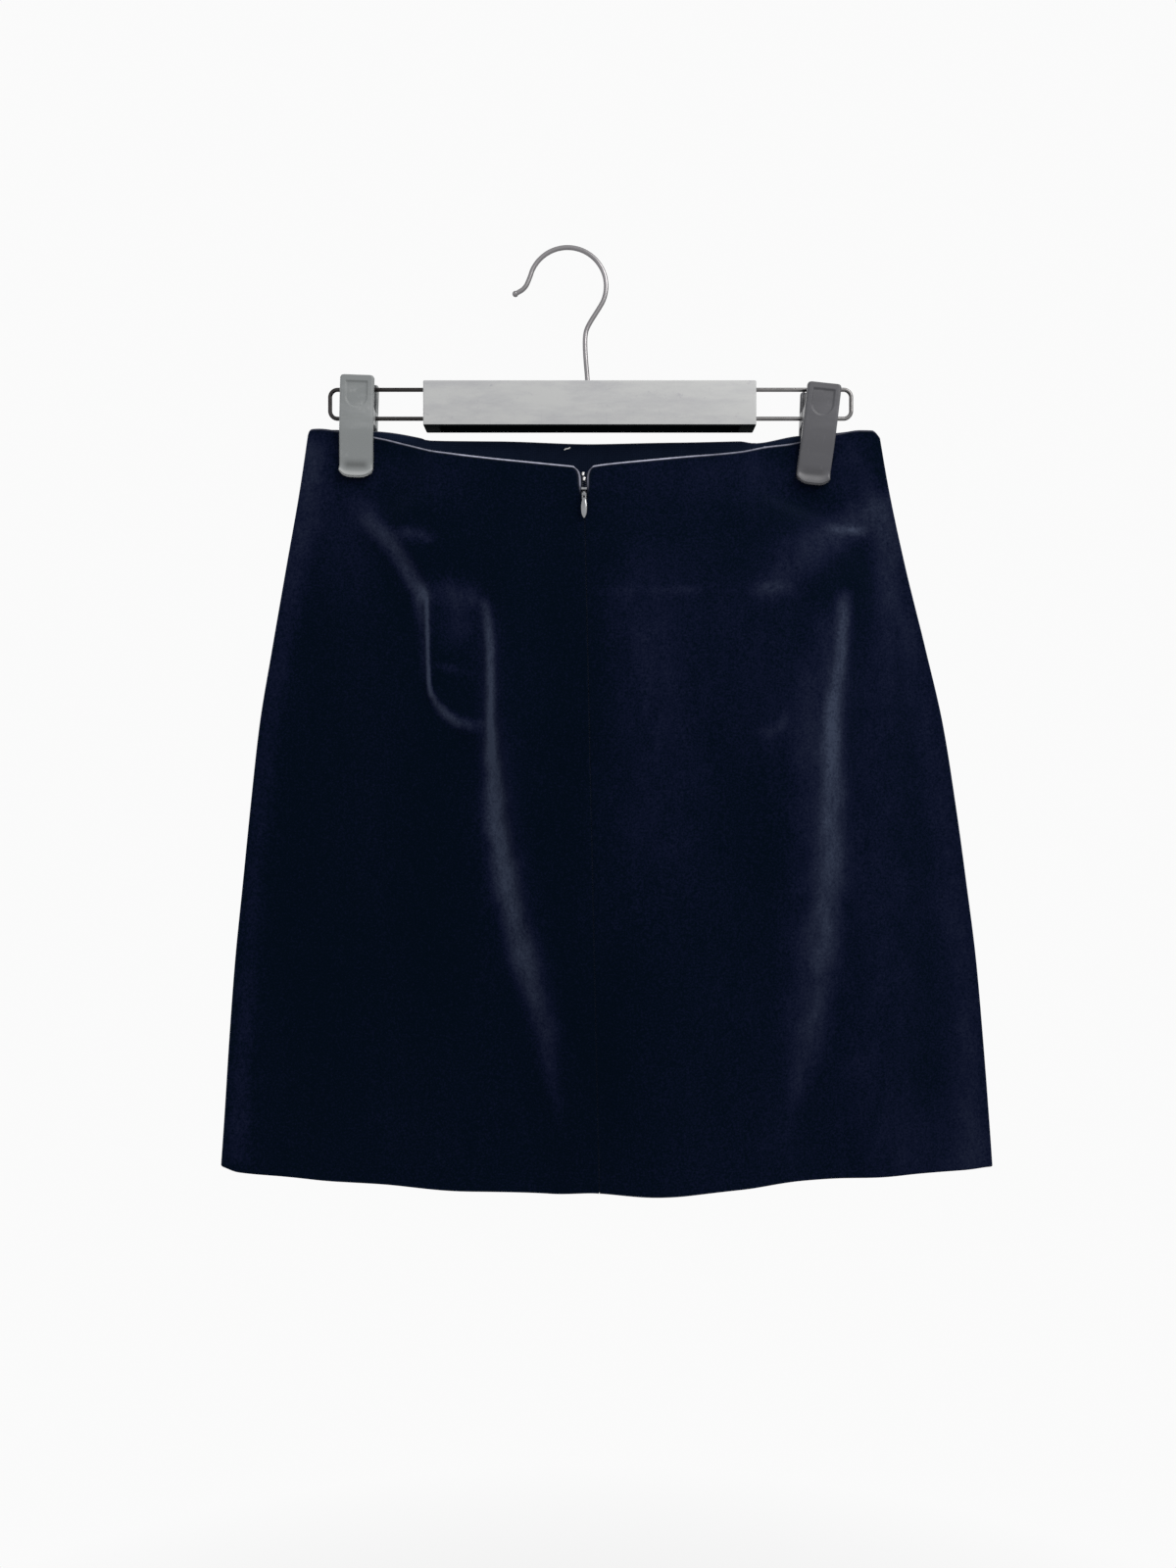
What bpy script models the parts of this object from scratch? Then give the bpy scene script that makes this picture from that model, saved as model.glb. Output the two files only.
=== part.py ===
"""A velvet mini skirt, seen from its zipped back, hanging by its waist from a clip hanger.

Frame: millimetres here, written to the scene in metres. The origin is the underside of the hanger hook's
crown, where a rail or peg carries it. +X is right and +Z up as one looks at the zipped back, which faces -Y.
The hanging plane, in which the two clips press the waist together, is y = 0.
"""

import math

import bmesh
import bpy
import numpy as np
from mathutils import Vector

MM = 0.001

# ------------------------------------------------------------------ driving dimensions, mm
CLOTH = 1.6  # velvet wall
SEAM_GAP = 0.3  # between two sewn panels
FOLD_HALF = 1.9  # half the thickness of the flattened skirt, at its side seams and in the clips
SKIRT_TOP = -117.0
SKIRT_HEM = -604.0

WIRE_R = 1.3  # the two bent wires that slide in the bar and carry the clips
WIRE_TOP_Z = -91.4
WIRE_LOW_Z = -110.3
WIRE_ENDS_X = (-155.6, 184.6)
WIRE_BEND_R = 5.0
WIRE_LEG_INSIDE = 58.0  # how far a wire's legs reach into the bar

HOOK_R = 1.5
HOOK_CROWN_R = 25.2  # centre line of the round part
HOOK_CROWN = (-0.6, HOOK_R - HOOK_CROWN_R)  # its centre, (x, z)
HOOK_CROWN_ARC = (166.8, -33.0)  # degrees, from the open end to the neck
HOOK_BALL_R = 1.95
HOOK_TIP = (-34.6, -28.8)
HOOK_TIP_BEND = (-28.2, -25.2)
HOOK_NECK = ((12.4, -50.0), (10.7, -56.5), (11.0, -68.7), (12.4, -84.0), (12.5, -90.4))
HOOK_HEAD_R = 3.0  # the upset head under the bar's top wall
HOOK_HEAD_Z = -92.2
HOOK_HEAD_TALL = 2.0

BAR_LENGTH = 215.6
BAR_HEIGHT = 29.4
BAR_FRONT_Y = -8.0
BAR_BACK_Y = 9.0
BAR_WALL = 2.0
BAR_END = 10.0  # solid block at each end, bored for the wires
BAR_CENTRE_X = 13.9
BAR_TOP = -87.6
BAR_EDGE_R = 1.0

CLIP_WIDTH = 22.0
CLIP_LENGTH = 65.0
CLIP_CORNER = 1.6
CLIP_WALL = 2.0
CLIP_SAG = 4.4  # how far the rounded lip's middle hangs below its corners
CLIP_TOP_CORNER = 2.0
THUMB_REST_WIDTH = 13.7
THUMB_REST_TOP = 4.2  # below the clip's top
THUMB_REST_STRAIGHT = 9.5
THUMB_REST_DEPTH = 0.6
EYE_HALF = 4.2  # the flanges' ears round the lower wire, up and down from it
EYE_REACH = 0.4  # and how close they come to the hanging plane
SPRING_WIDTH = 9.0
SPRING_THICK = 0.8
SPRING_BEND_R = 2.2
SPRING_RISE = 15.5
SPRING_LEG = 6.0  # the straight top of each leg, and how far it leans
SPRING_LEG_LEAN = 1.4
SPRING_TOP_BELOW = 10.0  # the legs' ends, below the jaw's top

CB_TOP = (9.9, -145.0)  # centre back seam, (x, z), at the waist and at the hem
CB_HEM = (19.8, -609.5)
ZIP_END_Z = -335.0
TAPE_WIDTH = 9.0
TAPE_THICK = 1.0

PULL_PIVOT = (10.3, -18.9, -164.0)  # (x, y, z)
PULL_THICK = 1.0
PULL_BAR_R = 0.6
PULL_BAR_ROOT = 0.4  # how far the bar runs into the plate on each side
PULL_WINDOW = (0.9, 2.4)  # half its width, and its far edge below the pivot
RING_HOLE_R = 1.0
RING_R = 1.75
RING_WIDTH = 1.2
SLIDER_BODY = (6.4, 3.0, 8.0)  # x, y, z
SLIDER_EDGE_R = 0.8
SLIDER_GAP = 0.36  # between the slider's body and the tape
NECK_HALF = 1.3

# ------------------------------------------------------------------ tables, mm
# The skirt flattened: its side edges and how far its two sides bulge from the hanging plane.
SECTION_COLUMNS = ("z", "left", "right", "back", "front")
SECTIONS = (
    (-117.0, -169.5, 202.4, 12.5, 10.5),
    (-157.0, -175.4, 209.3, 15.5, 12.5),
    (-208.0, -184.3, 220.2, 22.5, 15.5),
    (-260.0, -193.3, 233.0, 27.5, 17.5),
    (-310.0, -201.6, 244.5, 29.0, 18.5),
    (-362.0, -207.4, 252.8, 29.0, 19.0),
    (-413.0, -212.5, 259.8, 28.5, 19.5),
    (-464.0, -217.6, 266.2, 27.5, 20.0),
    (-515.0, -221.4, 270.7, 26.5, 20.0),
    (-566.0, -224.6, 274.6, 25.5, 20.0),
    (-612.0, -227.8, 277.8, 24.5, 20.0),
)

# Folds. Each one lifts a side of the skirt by its share of the bulge, over its width, about its x.
FOLD_COLUMNS = ("z", "x", "width", "share")
BACK_LEFT_FOLDS = {
    "wing": (
        (-117, -97, 50, 0.30),
        (-157, -100, 48, 0.30),
        (-184, -138, 66, 0.25),
        (-223, -140, 84, 0.30),
        (-290, -145, 100, 0.36),
        (-360, -135, 130, 0.38),
        (-480, -125, 160, 0.42),
        (-612, -118, 180, 0.46),
    ),
    "drag": (
        (-117, -76, 60, 0.20),
        (-157, -108, 30, 0.20),
        (-184, -112, 18, 0.22),
        (-223, -92, 12, 0.16),
        (-286, -88, 10, 0.12),
        (-310, -72, 16, 0.10),
        (-330, -52, 18, 0.02),
        (-345, -45, 18, 0.00),
        (-612, -20, 18, 0.00),
    ),
    "ridge": (
        (-117, -40, 60, 0.25),
        (-184, -48, 50, 0.15),
        (-234, -50.6, 22, 0.18),
        (-286, -47.5, 16, 0.24),
        (-318, -46.9, 15, 0.34),
        (-349, -43.8, 16, 0.36),
        (-411, -36.3, 20, 0.32),
        (-473, -23.9, 22, 0.22),
        (-535, -11.4, 26, 0.12),
        (-612, -6.0, 30, 0.05),
    ),
    "crown": (
        (-117, 6, 70, 0.0),
        (-612, 20, 120, 0.0),
    ),
}
BACK_RIGHT_FOLDS = {
    "wing": (
        (-117, 128, 36, 0.30),
        (-157, 127, 34, 0.30),
        (-184, 176, 46, 0.26),
        (-224, 204, 32, 0.35),
        (-286, 215, 40, 0.36),
        (-411, 218, 70, 0.40),
        (-536, 225, 88, 0.46),
        (-612, 225, 96, 0.50),
    ),
    "drag": (
        (-117, 116, 56, 0.14),
        (-157, 126, 36, 0.14),
        (-184, 160, 30, 0.16),
        (-224, 138, 22, 0.14),
        (-286, 138, 18, 0.08),
        (-311, 132, 20, 0.05),
        (-345, 130, 24, 0.00),
        (-612, 130, 24, 0.00),
    ),
    "ridge": (
        (-117, 96, 66, 0.30),
        (-157, 108, 64, 0.30),
        (-184, 150, 56, 0.30),
        (-224, 177, 46, 0.35),
        (-286, 175, 40, 0.40),
        (-349, 169, 38, 0.42),
        (-411, 165, 38, 0.40),
        (-474, 159, 40, 0.34),
        (-536, 150, 46, 0.26),
        (-612, 140, 54, 0.18),
    ),
    "crown": (
        (-117, 60, 100, 0.0),
        (-612, 96, 120, 0.0),
    ),
}
FRONT_LEFT_FOLDS = {
    "wing": (
        (-117, -100, 46, 0.34),
        (-157, -102, 44, 0.34),
        (-200, -146, 64, 0.30),
        (-300, -150, 90, 0.36),
        (-450, -150, 120, 0.42),
        (-612, -140, 150, 0.46),
    ),
    "ridge": (
        (-117, -70, 50, 0.30),
        (-190, -82, 34, 0.30),
        (-240, -74, 24, 0.34),
        (-330, -66, 24, 0.34),
        (-450, -78, 30, 0.28),
        (-612, -90, 40, 0.14),
    ),
    "crown": (
        (-117, -20, 90, 0.0),
        (-612, -20, 110, 0.0),
    ),
}
FRONT_RIGHT_FOLDS = {
    "wing": (
        (-117, 128, 38, 0.34),
        (-157, 130, 36, 0.34),
        (-200, 180, 56, 0.30),
        (-300, 192, 84, 0.38),
        (-450, 198, 110, 0.42),
        (-612, 200, 130, 0.46),
    ),
    "ridge": (
        (-117, 98, 50, 0.30),
        (-190, 114, 40, 0.28),
        (-250, 120, 30, 0.30),
        (-360, 128, 28, 0.32),
        (-480, 142, 34, 0.24),
        (-612, 150, 44, 0.12),
    ),
    "crown": (
        (-117, 50, 90, 0.0),
        (-612, 55, 110, 0.0),
    ),
}

EDGE_COLUMNS = ("x", "z")
BACK_WAIST = (
    (-171, -117.0),
    (-150, -118.6),
    (-124, -122.9),
    (-104, -128.0),
    (-86, -133.0),
    (-55, -137.6),
    (-18, -141.9),
    (0, -144.0),
    (10, -145.2),
    (22, -143.8),
    (52, -140.8),
    (78, -138.2),
    (111, -133.8),
    (130, -129.0),
    (149, -126.0),
    (175, -120.5),
    (190, -118.0),
    (198, -118.2),
    (203, -122.5),
)
FRONT_WAIST = (
    (-171, -117.0),
    (-124, -118.3),
    (-97, -122.0),
    (-92, -123.4),
    (-40, -122.6),
    (15, -123.3),
    (112, -123.5),
    (123, -125.2),
    (150, -121.2),
    (175, -119.3),
    (190, -117.8),
    (198, -118.2),
    (203, -122.5),
)
BACK_HEM = (
    (-227, -597.8),
    (-215, -602.3),
    (-185, -604.7),
    (-123, -608.4),
    (-62, -611.0),
    (-11, -611.7),
    (20, -609.4),
    (54, -610.3),
    (110, -606.7),
    (151, -603.2),
    (214, -601.4),
    (256, -600.4),
    (278, -598.1),
)
FRONT_HEM = (
    (-227, -597.8),
    (-215, -601.6),
    (-150, -604.0),
    (-60, -606.5),
    (25, -607.5),
    (110, -606.0),
    (200, -602.5),
    (260, -600.2),
    (278, -598.1),
)
# Half the gap between the two back panels, open above the zip's slider.
SLIT_COLUMNS = ("z", "half")
ZIP_SLIT = (
    (-143.0, 5.6),
    (-147.0, 3.4),
    (-150.5, 2.4),
    (-156.0, 2.0),
    (-166.5, 1.9),
    (-171.0, SEAM_GAP / 2),
    (-700.0, SEAM_GAP / 2),
)

# A clip's jaw, by the distance below its top: how far its outer face and the free edges of its two flanges
# lie from the hanging plane, and how thick its face is.
JAW_COLUMNS = ("below", "face", "flange", "thick")
JAW = (
    (0.0, 11.4, 8.6, 2.0),
    (6.0, 11.3, 8.0, 2.0),
    (12.0, 11.0, 7.6, 2.0),
    (34.0, 9.2, 5.6, 2.0),
    (46.0, 7.1, 4.2, 2.0),
    (52.0, 6.0, 2.3, 2.2),
    (58.0, 4.9, 2.3, 2.3),
    (61.0, 5.5, 2.3, 2.9),
    (65.0, 7.4, 3.4, 3.0),
)
CLIP_COLUMNS = ("name", "x", "rise", "tilt", "back_tilt", "material")
# x is where the clip hangs on the lower wire and rise how far its top stands above that; tilts in degrees.
CLIPS = (
    ("left", -136.8, 25.2, 2.0, 1.0, "clip_plastic"),
    ("right", 163.3, 20.1, 6.1, 2.6, "clip_plastic_dark"),
)
PULL_COLUMNS = ("below", "half")
# The pull tab's half width, by the distance below its pivot.
PULL = (
    (-0.6, 1.55),
    (0.0, 1.75),
    (2.4, 1.7),
    (5.0, 1.75),
    (9.0, 2.15),
    (11.2, 2.25),
    (13.4, 1.8),
    (14.6, 1.0),
    (15.2, 0.35),
)

# ------------------------------------------------------------------ materials
# (red, green, blue, metallic, roughness)
FINISHES = {
    "velvet": (0.006, 0.009, 0.022, 0.0, 0.9),
    "zip_tape": (0.008, 0.011, 0.022, 0.0, 0.8),
    "zip_metal": (0.36, 0.37, 0.38, 1.0, 0.3),
    "clip_plastic": (0.21, 0.225, 0.23, 0.0, 0.45),
    "clip_plastic_dark": (0.12, 0.12, 0.13, 0.0, 0.45),
    "bar_plastic": (0.48, 0.49, 0.49, 0.0, 0.45),
    "wire": (0.40, 0.39, 0.40, 1.0, 0.25),
}


def finish(name):
    """The material of that name, made once."""
    found = bpy.data.materials.get(name)
    if found:
        return found
    *colour, metallic, roughness = FINISHES[name]
    material = bpy.data.materials.new(name)
    material.use_nodes = True
    shader = material.node_tree.nodes["Principled BSDF"]
    shader.inputs["Base Color"].default_value = (*colour, 1.0)
    shader.inputs["Metallic"].default_value = metallic
    shader.inputs["Roughness"].default_value = roughness
    material.diffuse_color = (*colour, 1.0)
    return material


# ------------------------------------------------------------------ small tools
def curve(table, column, at):
    """A smooth curve through one column of a table, read at those values of the first column.

    The slopes are limited as in a monotone cubic, so the curve never swings past the table's own values.
    """
    rows = np.array(table, float)
    rows = rows[np.argsort(rows[:, 0])]
    x, y = rows[:, 0], rows[:, column]
    step = np.diff(x)
    rise = np.diff(y) / step
    slope = np.zeros(len(x))
    slope[0], slope[-1] = rise[0], rise[-1]
    same_way = rise[:-1] * rise[1:] > 0
    harmonic = 2 * rise[:-1] * rise[1:] / np.where(same_way, rise[:-1] + rise[1:], 1.0)
    slope[1:-1] = np.where(same_way, harmonic, 0.0)
    at = np.clip(np.asarray(at, float), x[0], x[-1])
    i = np.clip(np.searchsorted(x, at) - 1, 0, len(x) - 2)
    t = (at - x[i]) / step[i]
    return (
        y[i] * (1 + 2 * t) * (1 - t) ** 2
        + y[i + 1] * t**2 * (3 - 2 * t)
        + step[i] * (slope[i] * t * (1 - t) ** 2 - slope[i + 1] * t**2 * (1 - t))
    )


def section(column, z):
    return curve(SECTIONS, SECTION_COLUMNS.index(column), z)


def fold(rows, column, z):
    return curve(rows, FOLD_COLUMNS.index(column), z)


def smooth(t):
    t = np.clip(t, 0.0, 1.0)
    return t * t * (3 - 2 * t)


def lift(folds, x, z, way):
    """0 at the side seam and 1 in the middle: the sum of a side's folds. way is 1 for left, -1 for right."""
    total, shares = 0.0, 0.0
    for name, rows in folds.items():
        middle, width = fold(rows, "x", z), fold(rows, "width", z)
        share = 1.0 - shares if name == "crown" else fold(rows, "share", z)
        total = total + share * smooth(way * (x - middle) / width + 0.5)
        shares = shares + share
    return total


def depth(side, x, z):
    """How far the skirt's outer face lies from the hanging plane, on its back or its front."""
    left_folds, right_folds = {
        "back": (BACK_LEFT_FOLDS, BACK_RIGHT_FOLDS),
        "front": (FRONT_LEFT_FOLDS, FRONT_RIGHT_FOLDS),
    }[side]
    from_edge = np.minimum(x - section("left", z), section("right", z) - x)
    roll = np.sqrt(1 - (1 - np.clip(from_edge / FOLD_HALF, 0, 1)) ** 2)
    risen = lift(left_folds, x, z, 1) + lift(right_folds, x, z, -1) - 1
    return np.maximum(FOLD_HALF * roll + section(side, z) * np.maximum(risen, 0), SEAM_GAP / 2)


def centre_back_x(z):
    share = (z - CB_TOP[1]) / (CB_HEM[1] - CB_TOP[1])
    return CB_TOP[0] + share * (CB_HEM[0] - CB_TOP[0])


def add_object(name, data, material, location=(0, 0, 0)):
    placed = bpy.data.objects.new(name, data)
    placed.location = Vector(location) * MM
    placed.data.materials.append(finish(material))
    bpy.context.scene.collection.objects.link(placed)
    return placed


def mesh_from(name, points, faces, round_angle=40):
    """A mesh from points in mm, its faces turned outwards and shaded smooth up to an angle."""
    mesh = bpy.data.meshes.new(name)
    mesh.from_pydata([tuple(c * MM for c in p) for p in points], [], faces)
    work = bmesh.new()
    work.from_mesh(mesh)
    bmesh.ops.recalc_face_normals(work, faces=work.faces)
    work.to_mesh(mesh)
    work.free()
    mesh.shade_smooth()
    mesh.set_sharp_from_angle(angle=math.radians(round_angle))
    return mesh


# ------------------------------------------------------------------ the skirt
ROLL_STEPS = 3  # columns round a side edge
SLIT_SHARE = 0.055  # of a panel's height, beside the slit
SLIT_ROWS = 6
ROWS_BELOW_SLIT = 19
LEVEL_PASSES = 3


def row_shares():
    """Where a panel's rows lie, from 0 at the waist to 1 at the hem: close together beside the zip's slit."""
    beside_slit = np.linspace(0.0, SLIT_SHARE, SLIT_ROWS + 1)
    below = np.linspace(SLIT_SHARE, 1.0, ROWS_BELOW_SLIT + 1)
    return np.concatenate([beside_slit, below[1:]])[:, None]


def spread(start, end, count):
    """count steps from start to end, without start itself; both may vary from row to row."""
    return [start + (end - start) * k / count for k in range(1, count + 1)]


def side_columns(z, way):
    """The columns that round a side edge, from the seam inwards."""
    edge = section("left" if way > 0 else "right", z)
    turns = [math.radians(90) * k / ROLL_STEPS for k in range(ROLL_STEPS + 1)]
    return [edge + way * FOLD_HALF * (1 - math.cos(turn)) for turn in turns]


def fold_columns(rows, z, way, before, across, start):
    """Columns from start to a fold, then across it."""
    middle, half = fold(rows, "x", z), fold(rows, "width", z) / 2
    near, far = middle - way * half, middle + way * half
    return spread(start, near, before) + spread(near, far, across)


def back_left_columns(z):
    columns = side_columns(z, 1)
    columns += fold_columns(BACK_LEFT_FOLDS["ridge"], z, 1, 10, 4, columns[-1])
    edge = centre_back_x(z) - curve(ZIP_SLIT, 1, z)
    return columns + spread(columns[-1], edge, 4)


def back_right_columns(z):
    columns = side_columns(z, -1)
    columns += fold_columns(BACK_RIGHT_FOLDS["ridge"], z, -1, 6, 5, columns[-1])
    edge = centre_back_x(z) + curve(ZIP_SLIT, 1, z)
    return columns + spread(columns[-1], edge, 9)


def front_columns(z):
    left = side_columns(z, 1)
    left += fold_columns(FRONT_LEFT_FOLDS["ridge"], z, 1, 7, 4, left[-1])
    right = side_columns(z, -1)
    right += fold_columns(FRONT_RIGHT_FOLDS["ridge"], z, -1, 7, 4, right[-1])
    return left + spread(left[-1], right[-1], 7) + right[-2::-1]


def face_points(side, columns, waist, hem):
    """The outer face as an array of points, rows by columns, its edges along the waist and hem tables."""
    shares = row_shares()
    level = SKIRT_TOP + shares * (SKIRT_HEM - SKIRT_TOP)
    level = np.repeat(level, len(columns(level)), axis=1)
    # A column's place depends on its level, and its level on where the column meets the edges.
    for _ in range(LEVEL_PASSES):
        x = np.stack([line[:, k] for k, line in enumerate(columns(level))], axis=1)
        top, low = curve(waist, 1, x), curve(hem, 1, x)
        level = top + shares * (low - top)
    outward = -1.0 if side == "back" else 1.0
    return np.stack([x, outward * depth(side, x, level), level], axis=-1)


def wall_normals(points, outward):
    """Unit normals of a grid of points, on the side towards outward (-1 or 1 along Y)."""
    along = np.gradient(points, axis=1)
    down = np.gradient(points, axis=0)
    normal = np.cross(along, down)
    normal /= np.linalg.norm(normal, axis=-1, keepdims=True)
    middle = normal[normal.shape[0] // 2, normal.shape[1] // 2, 1]
    return normal if middle * outward > 0 else -normal


def wall(name, outer, inner, material):
    """A closed wall between two grids of points of the same shape."""
    rows, columns = outer.shape[:2]
    count = rows * columns

    def at(layer, row, column):
        return layer * count + row * columns + column

    faces = []
    for row in range(rows - 1):
        for column in range(columns - 1):
            for layer in (0, 1):
                corners = [(row, column), (row, column + 1), (row + 1, column + 1), (row + 1, column)]
                faces.append([at(layer, *corner) for corner in corners])
    rim = [(0, k) for k in range(columns - 1)] + [(k, columns - 1) for k in range(rows - 1)]
    rim += [(rows - 1, k) for k in range(columns - 1, 0, -1)] + [(k, 0) for k in range(rows - 1, 0, -1)]
    for here, after in zip(rim, rim[1:] + rim[:1]):
        faces.append([at(0, *here), at(0, *after), at(1, *after), at(1, *here)])
    points = np.concatenate([outer.reshape(-1, 3), inner.reshape(-1, 3)])
    return add_object(name, mesh_from(name, points, faces), material)


def panel(name, side, columns, waist, hem, seam_columns):
    """One velvet panel. seam_columns are the columns, with the way inwards, that lie on a side seam."""
    outward = -1.0 if side == "back" else 1.0
    outer = face_points(side, columns, waist, hem)
    normals = wall_normals(outer, outward)
    for column, way in seam_columns:
        normals[:, column] = (-way, 0, 0)
    inner = outer - CLOTH * normals
    for column, _ in seam_columns:
        inner[:, column, 1] = outward * SEAM_GAP / 2
    wall(name, outer, inner, "velvet")
    return outer, normals


def zip_tape(name, outer, normals):
    """Half of the zip's tape, inside the back along its centre seam: the panel's own points, moved in."""
    rows = slice(1, int(np.searchsorted(-outer[:, -1, 2], -ZIP_END_Z)))
    edge, normal = outer[rows, -1], normals[rows, -1]
    across = outer[rows, -2] - edge
    across /= np.linalg.norm(across, axis=-1, keepdims=True)
    under = edge - normal * (CLOTH + SEAM_GAP)
    near = np.stack([under + across * width for width in (0.0, TAPE_WIDTH / 2, TAPE_WIDTH)], axis=1)
    wall(name, near, near - normal[:, None] * TAPE_THICK, "zip_tape")


def make_skirt():
    left_outer, left_normals = panel(
        "back_left_panel", "back", back_left_columns, BACK_WAIST, BACK_HEM, [(0, 1)]
    )
    right_outer, right_normals = panel(
        "back_right_panel", "back", back_right_columns, BACK_WAIST, BACK_HEM, [(0, -1)]
    )
    panel("front_panel", "front", front_columns, FRONT_WAIST, FRONT_HEM, [(0, 1), (-1, -1)])
    zip_tape("zip_tape_left", left_outer, left_normals)
    zip_tape("zip_tape_right", right_outer, right_normals)


# ------------------------------------------------------------------ zip slider and pull tab
def slab(outline, half, place):
    """A mesh between two copies of a closed outline. place turns (across, along, off) into a point in mm."""
    points = [place(a, b, off) for off in (-half, half) for a, b in outline]
    count = len(outline)
    faces = [list(range(count)), list(range(2 * count - 1, count - 1, -1))]
    faces += [[k, (k + 1) % count, (k + 1) % count + count, k + count] for k in range(count)]
    return points, faces


def ring_outline(radius, steps):
    turns = [2 * math.pi * k / steps for k in range(steps)]
    return [(radius * math.cos(a), radius * math.sin(a)) for a in turns]


def unite(target, other):
    joined = target.modifiers.new("join", "BOOLEAN")
    joined.operation = "UNION"
    joined.object = other
    as_cutter(other)


def carve(target, cutter):
    cut = target.modifiers.new("cut", "BOOLEAN")
    cut.operation = "DIFFERENCE"
    cut.object = cutter
    as_cutter(cutter)


def as_cutter(helper):
    helper.hide_render = True
    helper.display_type = "WIRE"


def box(name, low, high, material):
    """A box between two corners, in mm."""
    points = [(x, y, z) for x in (low[0], high[0]) for y in (low[1], high[1]) for z in (low[2], high[2])]
    faces = [(0, 1, 3, 2), (4, 6, 7, 5), (0, 4, 5, 1), (2, 3, 7, 6), (0, 2, 6, 4), (1, 5, 7, 3)]
    return add_object(name, mesh_from(name, points, faces), material)


def rounded(target, width, segments=2):
    bevel = target.modifiers.new("edges", "BEVEL")
    bevel.width = width * MM
    bevel.segments = segments
    bevel.limit_method = "ANGLE"
    bevel.angle_limit = math.radians(40)


def make_slider():
    """The zip's slider: a body behind the tape, with a neck through the slit to the ring for the pull."""
    pivot_x, pivot_y, pivot_z = PULL_PIVOT
    wide, deep, tall = SLIDER_BODY
    cloth_face = -float(depth("back", pivot_x - wide / 2, pivot_z + tall / 2))
    tape_back = cloth_face + CLOTH + SEAM_GAP + TAPE_THICK
    low = (pivot_x - wide / 2, tape_back + SLIDER_GAP, pivot_z - tall / 2)
    slider = box("zip_slider", low, (low[0] + wide, low[1] + deep, low[2] + tall), "zip_metal")
    rounded(slider, SLIDER_EDGE_R)
    neck = box(
        "neck",
        (pivot_x - RING_WIDTH / 2, pivot_y + (RING_HOLE_R + RING_R) / 2, pivot_z - NECK_HALF),
        (pivot_x + RING_WIDTH / 2, low[1] + deep / 3, pivot_z + NECK_HALF),
        "zip_metal",
    )
    unite(slider, neck)

    def across_x(a, b, off):
        return pivot_x + off, pivot_y + a, pivot_z + b

    for name, radius, half, act in (
        ("ring", RING_R, RING_WIDTH / 2, unite),
        ("ring_hole", RING_HOLE_R, RING_WIDTH, carve),
    ):
        points, faces = slab(ring_outline(radius, 20), half, across_x)
        act(slider, add_object(name, mesh_from(name, points, faces), "zip_metal"))


def make_pull():
    """The pull tab: a drop-shaped plate hanging from a round bar that passes through the slider's ring."""
    top, shoulder, end = PULL[0][0], PULL[-4][0], PULL[-1][0]
    levels = np.concatenate([np.linspace(top, shoulder, 10), np.linspace(shoulder, end, 6)[1:]])
    right = [(float(curve(PULL, 1, below)), -float(below)) for below in levels]
    outline = right + [(-half, level) for half, level in reversed(right)]
    points, faces = slab(outline, PULL_THICK / 2, lambda a, b, off: (a, off, b))
    mesh = mesh_from("zip_pull", points, faces)
    pull = add_object("zip_pull", mesh, "zip_metal", PULL_PIVOT)
    half, far = PULL_WINDOW
    window = box("window", (-half, -PULL_THICK, -far), (half, PULL_THICK, PULL_THICK), "zip_metal")
    window.location = Vector(PULL_PIVOT) * MM
    carve(pull, window)
    points, faces = slab(ring_outline(PULL_BAR_R, 12), half + PULL_BAR_ROOT, lambda a, b, off: (off, a, b))
    bar = add_object("pull_bar", mesh_from("pull_bar", points, faces), "zip_metal", PULL_PIVOT)
    unite(pull, bar)


# ------------------------------------------------------------------ the hanger
def arc(centre, radius, start, end, steps):
    """Points along an arc in the hanging plane, (x, z), between two angles in degrees from +X towards +Z."""
    turns = [math.radians(start + (end - start) * k / steps) for k in range(steps + 1)]
    return [(centre[0] + radius * math.cos(a), centre[1] + radius * math.sin(a)) for a in turns]


def smoothed(points, passes=2):
    """Corners cut, so that a bent wire turns gently. The two ends stay."""
    for _ in range(passes):
        cut = [points[0]]
        for a, b in zip(points, points[1:]):
            cut += [tuple((1 - share) * p + share * q for p, q in zip(a, b)) for share in (0.25, 0.75)]
        points = cut + [points[-1]]
    return points


def wire(name, path, radii, sides, material):
    """A round wire along a path in the hanging plane, with one radius for each of its points."""
    path = np.array(path)
    along = np.gradient(path, axis=0)
    along /= np.linalg.norm(along, axis=1, keepdims=True)
    across = np.stack([-along[:, 1], along[:, 0]], axis=1)
    turns = np.arange(sides) * 2 * math.pi / sides
    points = []
    for centre, normal, radius in zip(path, across, radii):
        for turn in turns:
            out = centre + radius * math.cos(turn) * normal
            points.append((out[0], radius * math.sin(turn), out[1]))
    faces = [list(range(sides)), [len(points) - 1 - k for k in range(sides)]]
    for ring in range(len(path) - 1):
        for k in range(sides):
            a, b = ring * sides + k, ring * sides + (k + 1) % sides
            faces.append([a, b, b + sides, a + sides])
    return add_object(name, mesh_from(name, points, faces), material)


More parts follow.
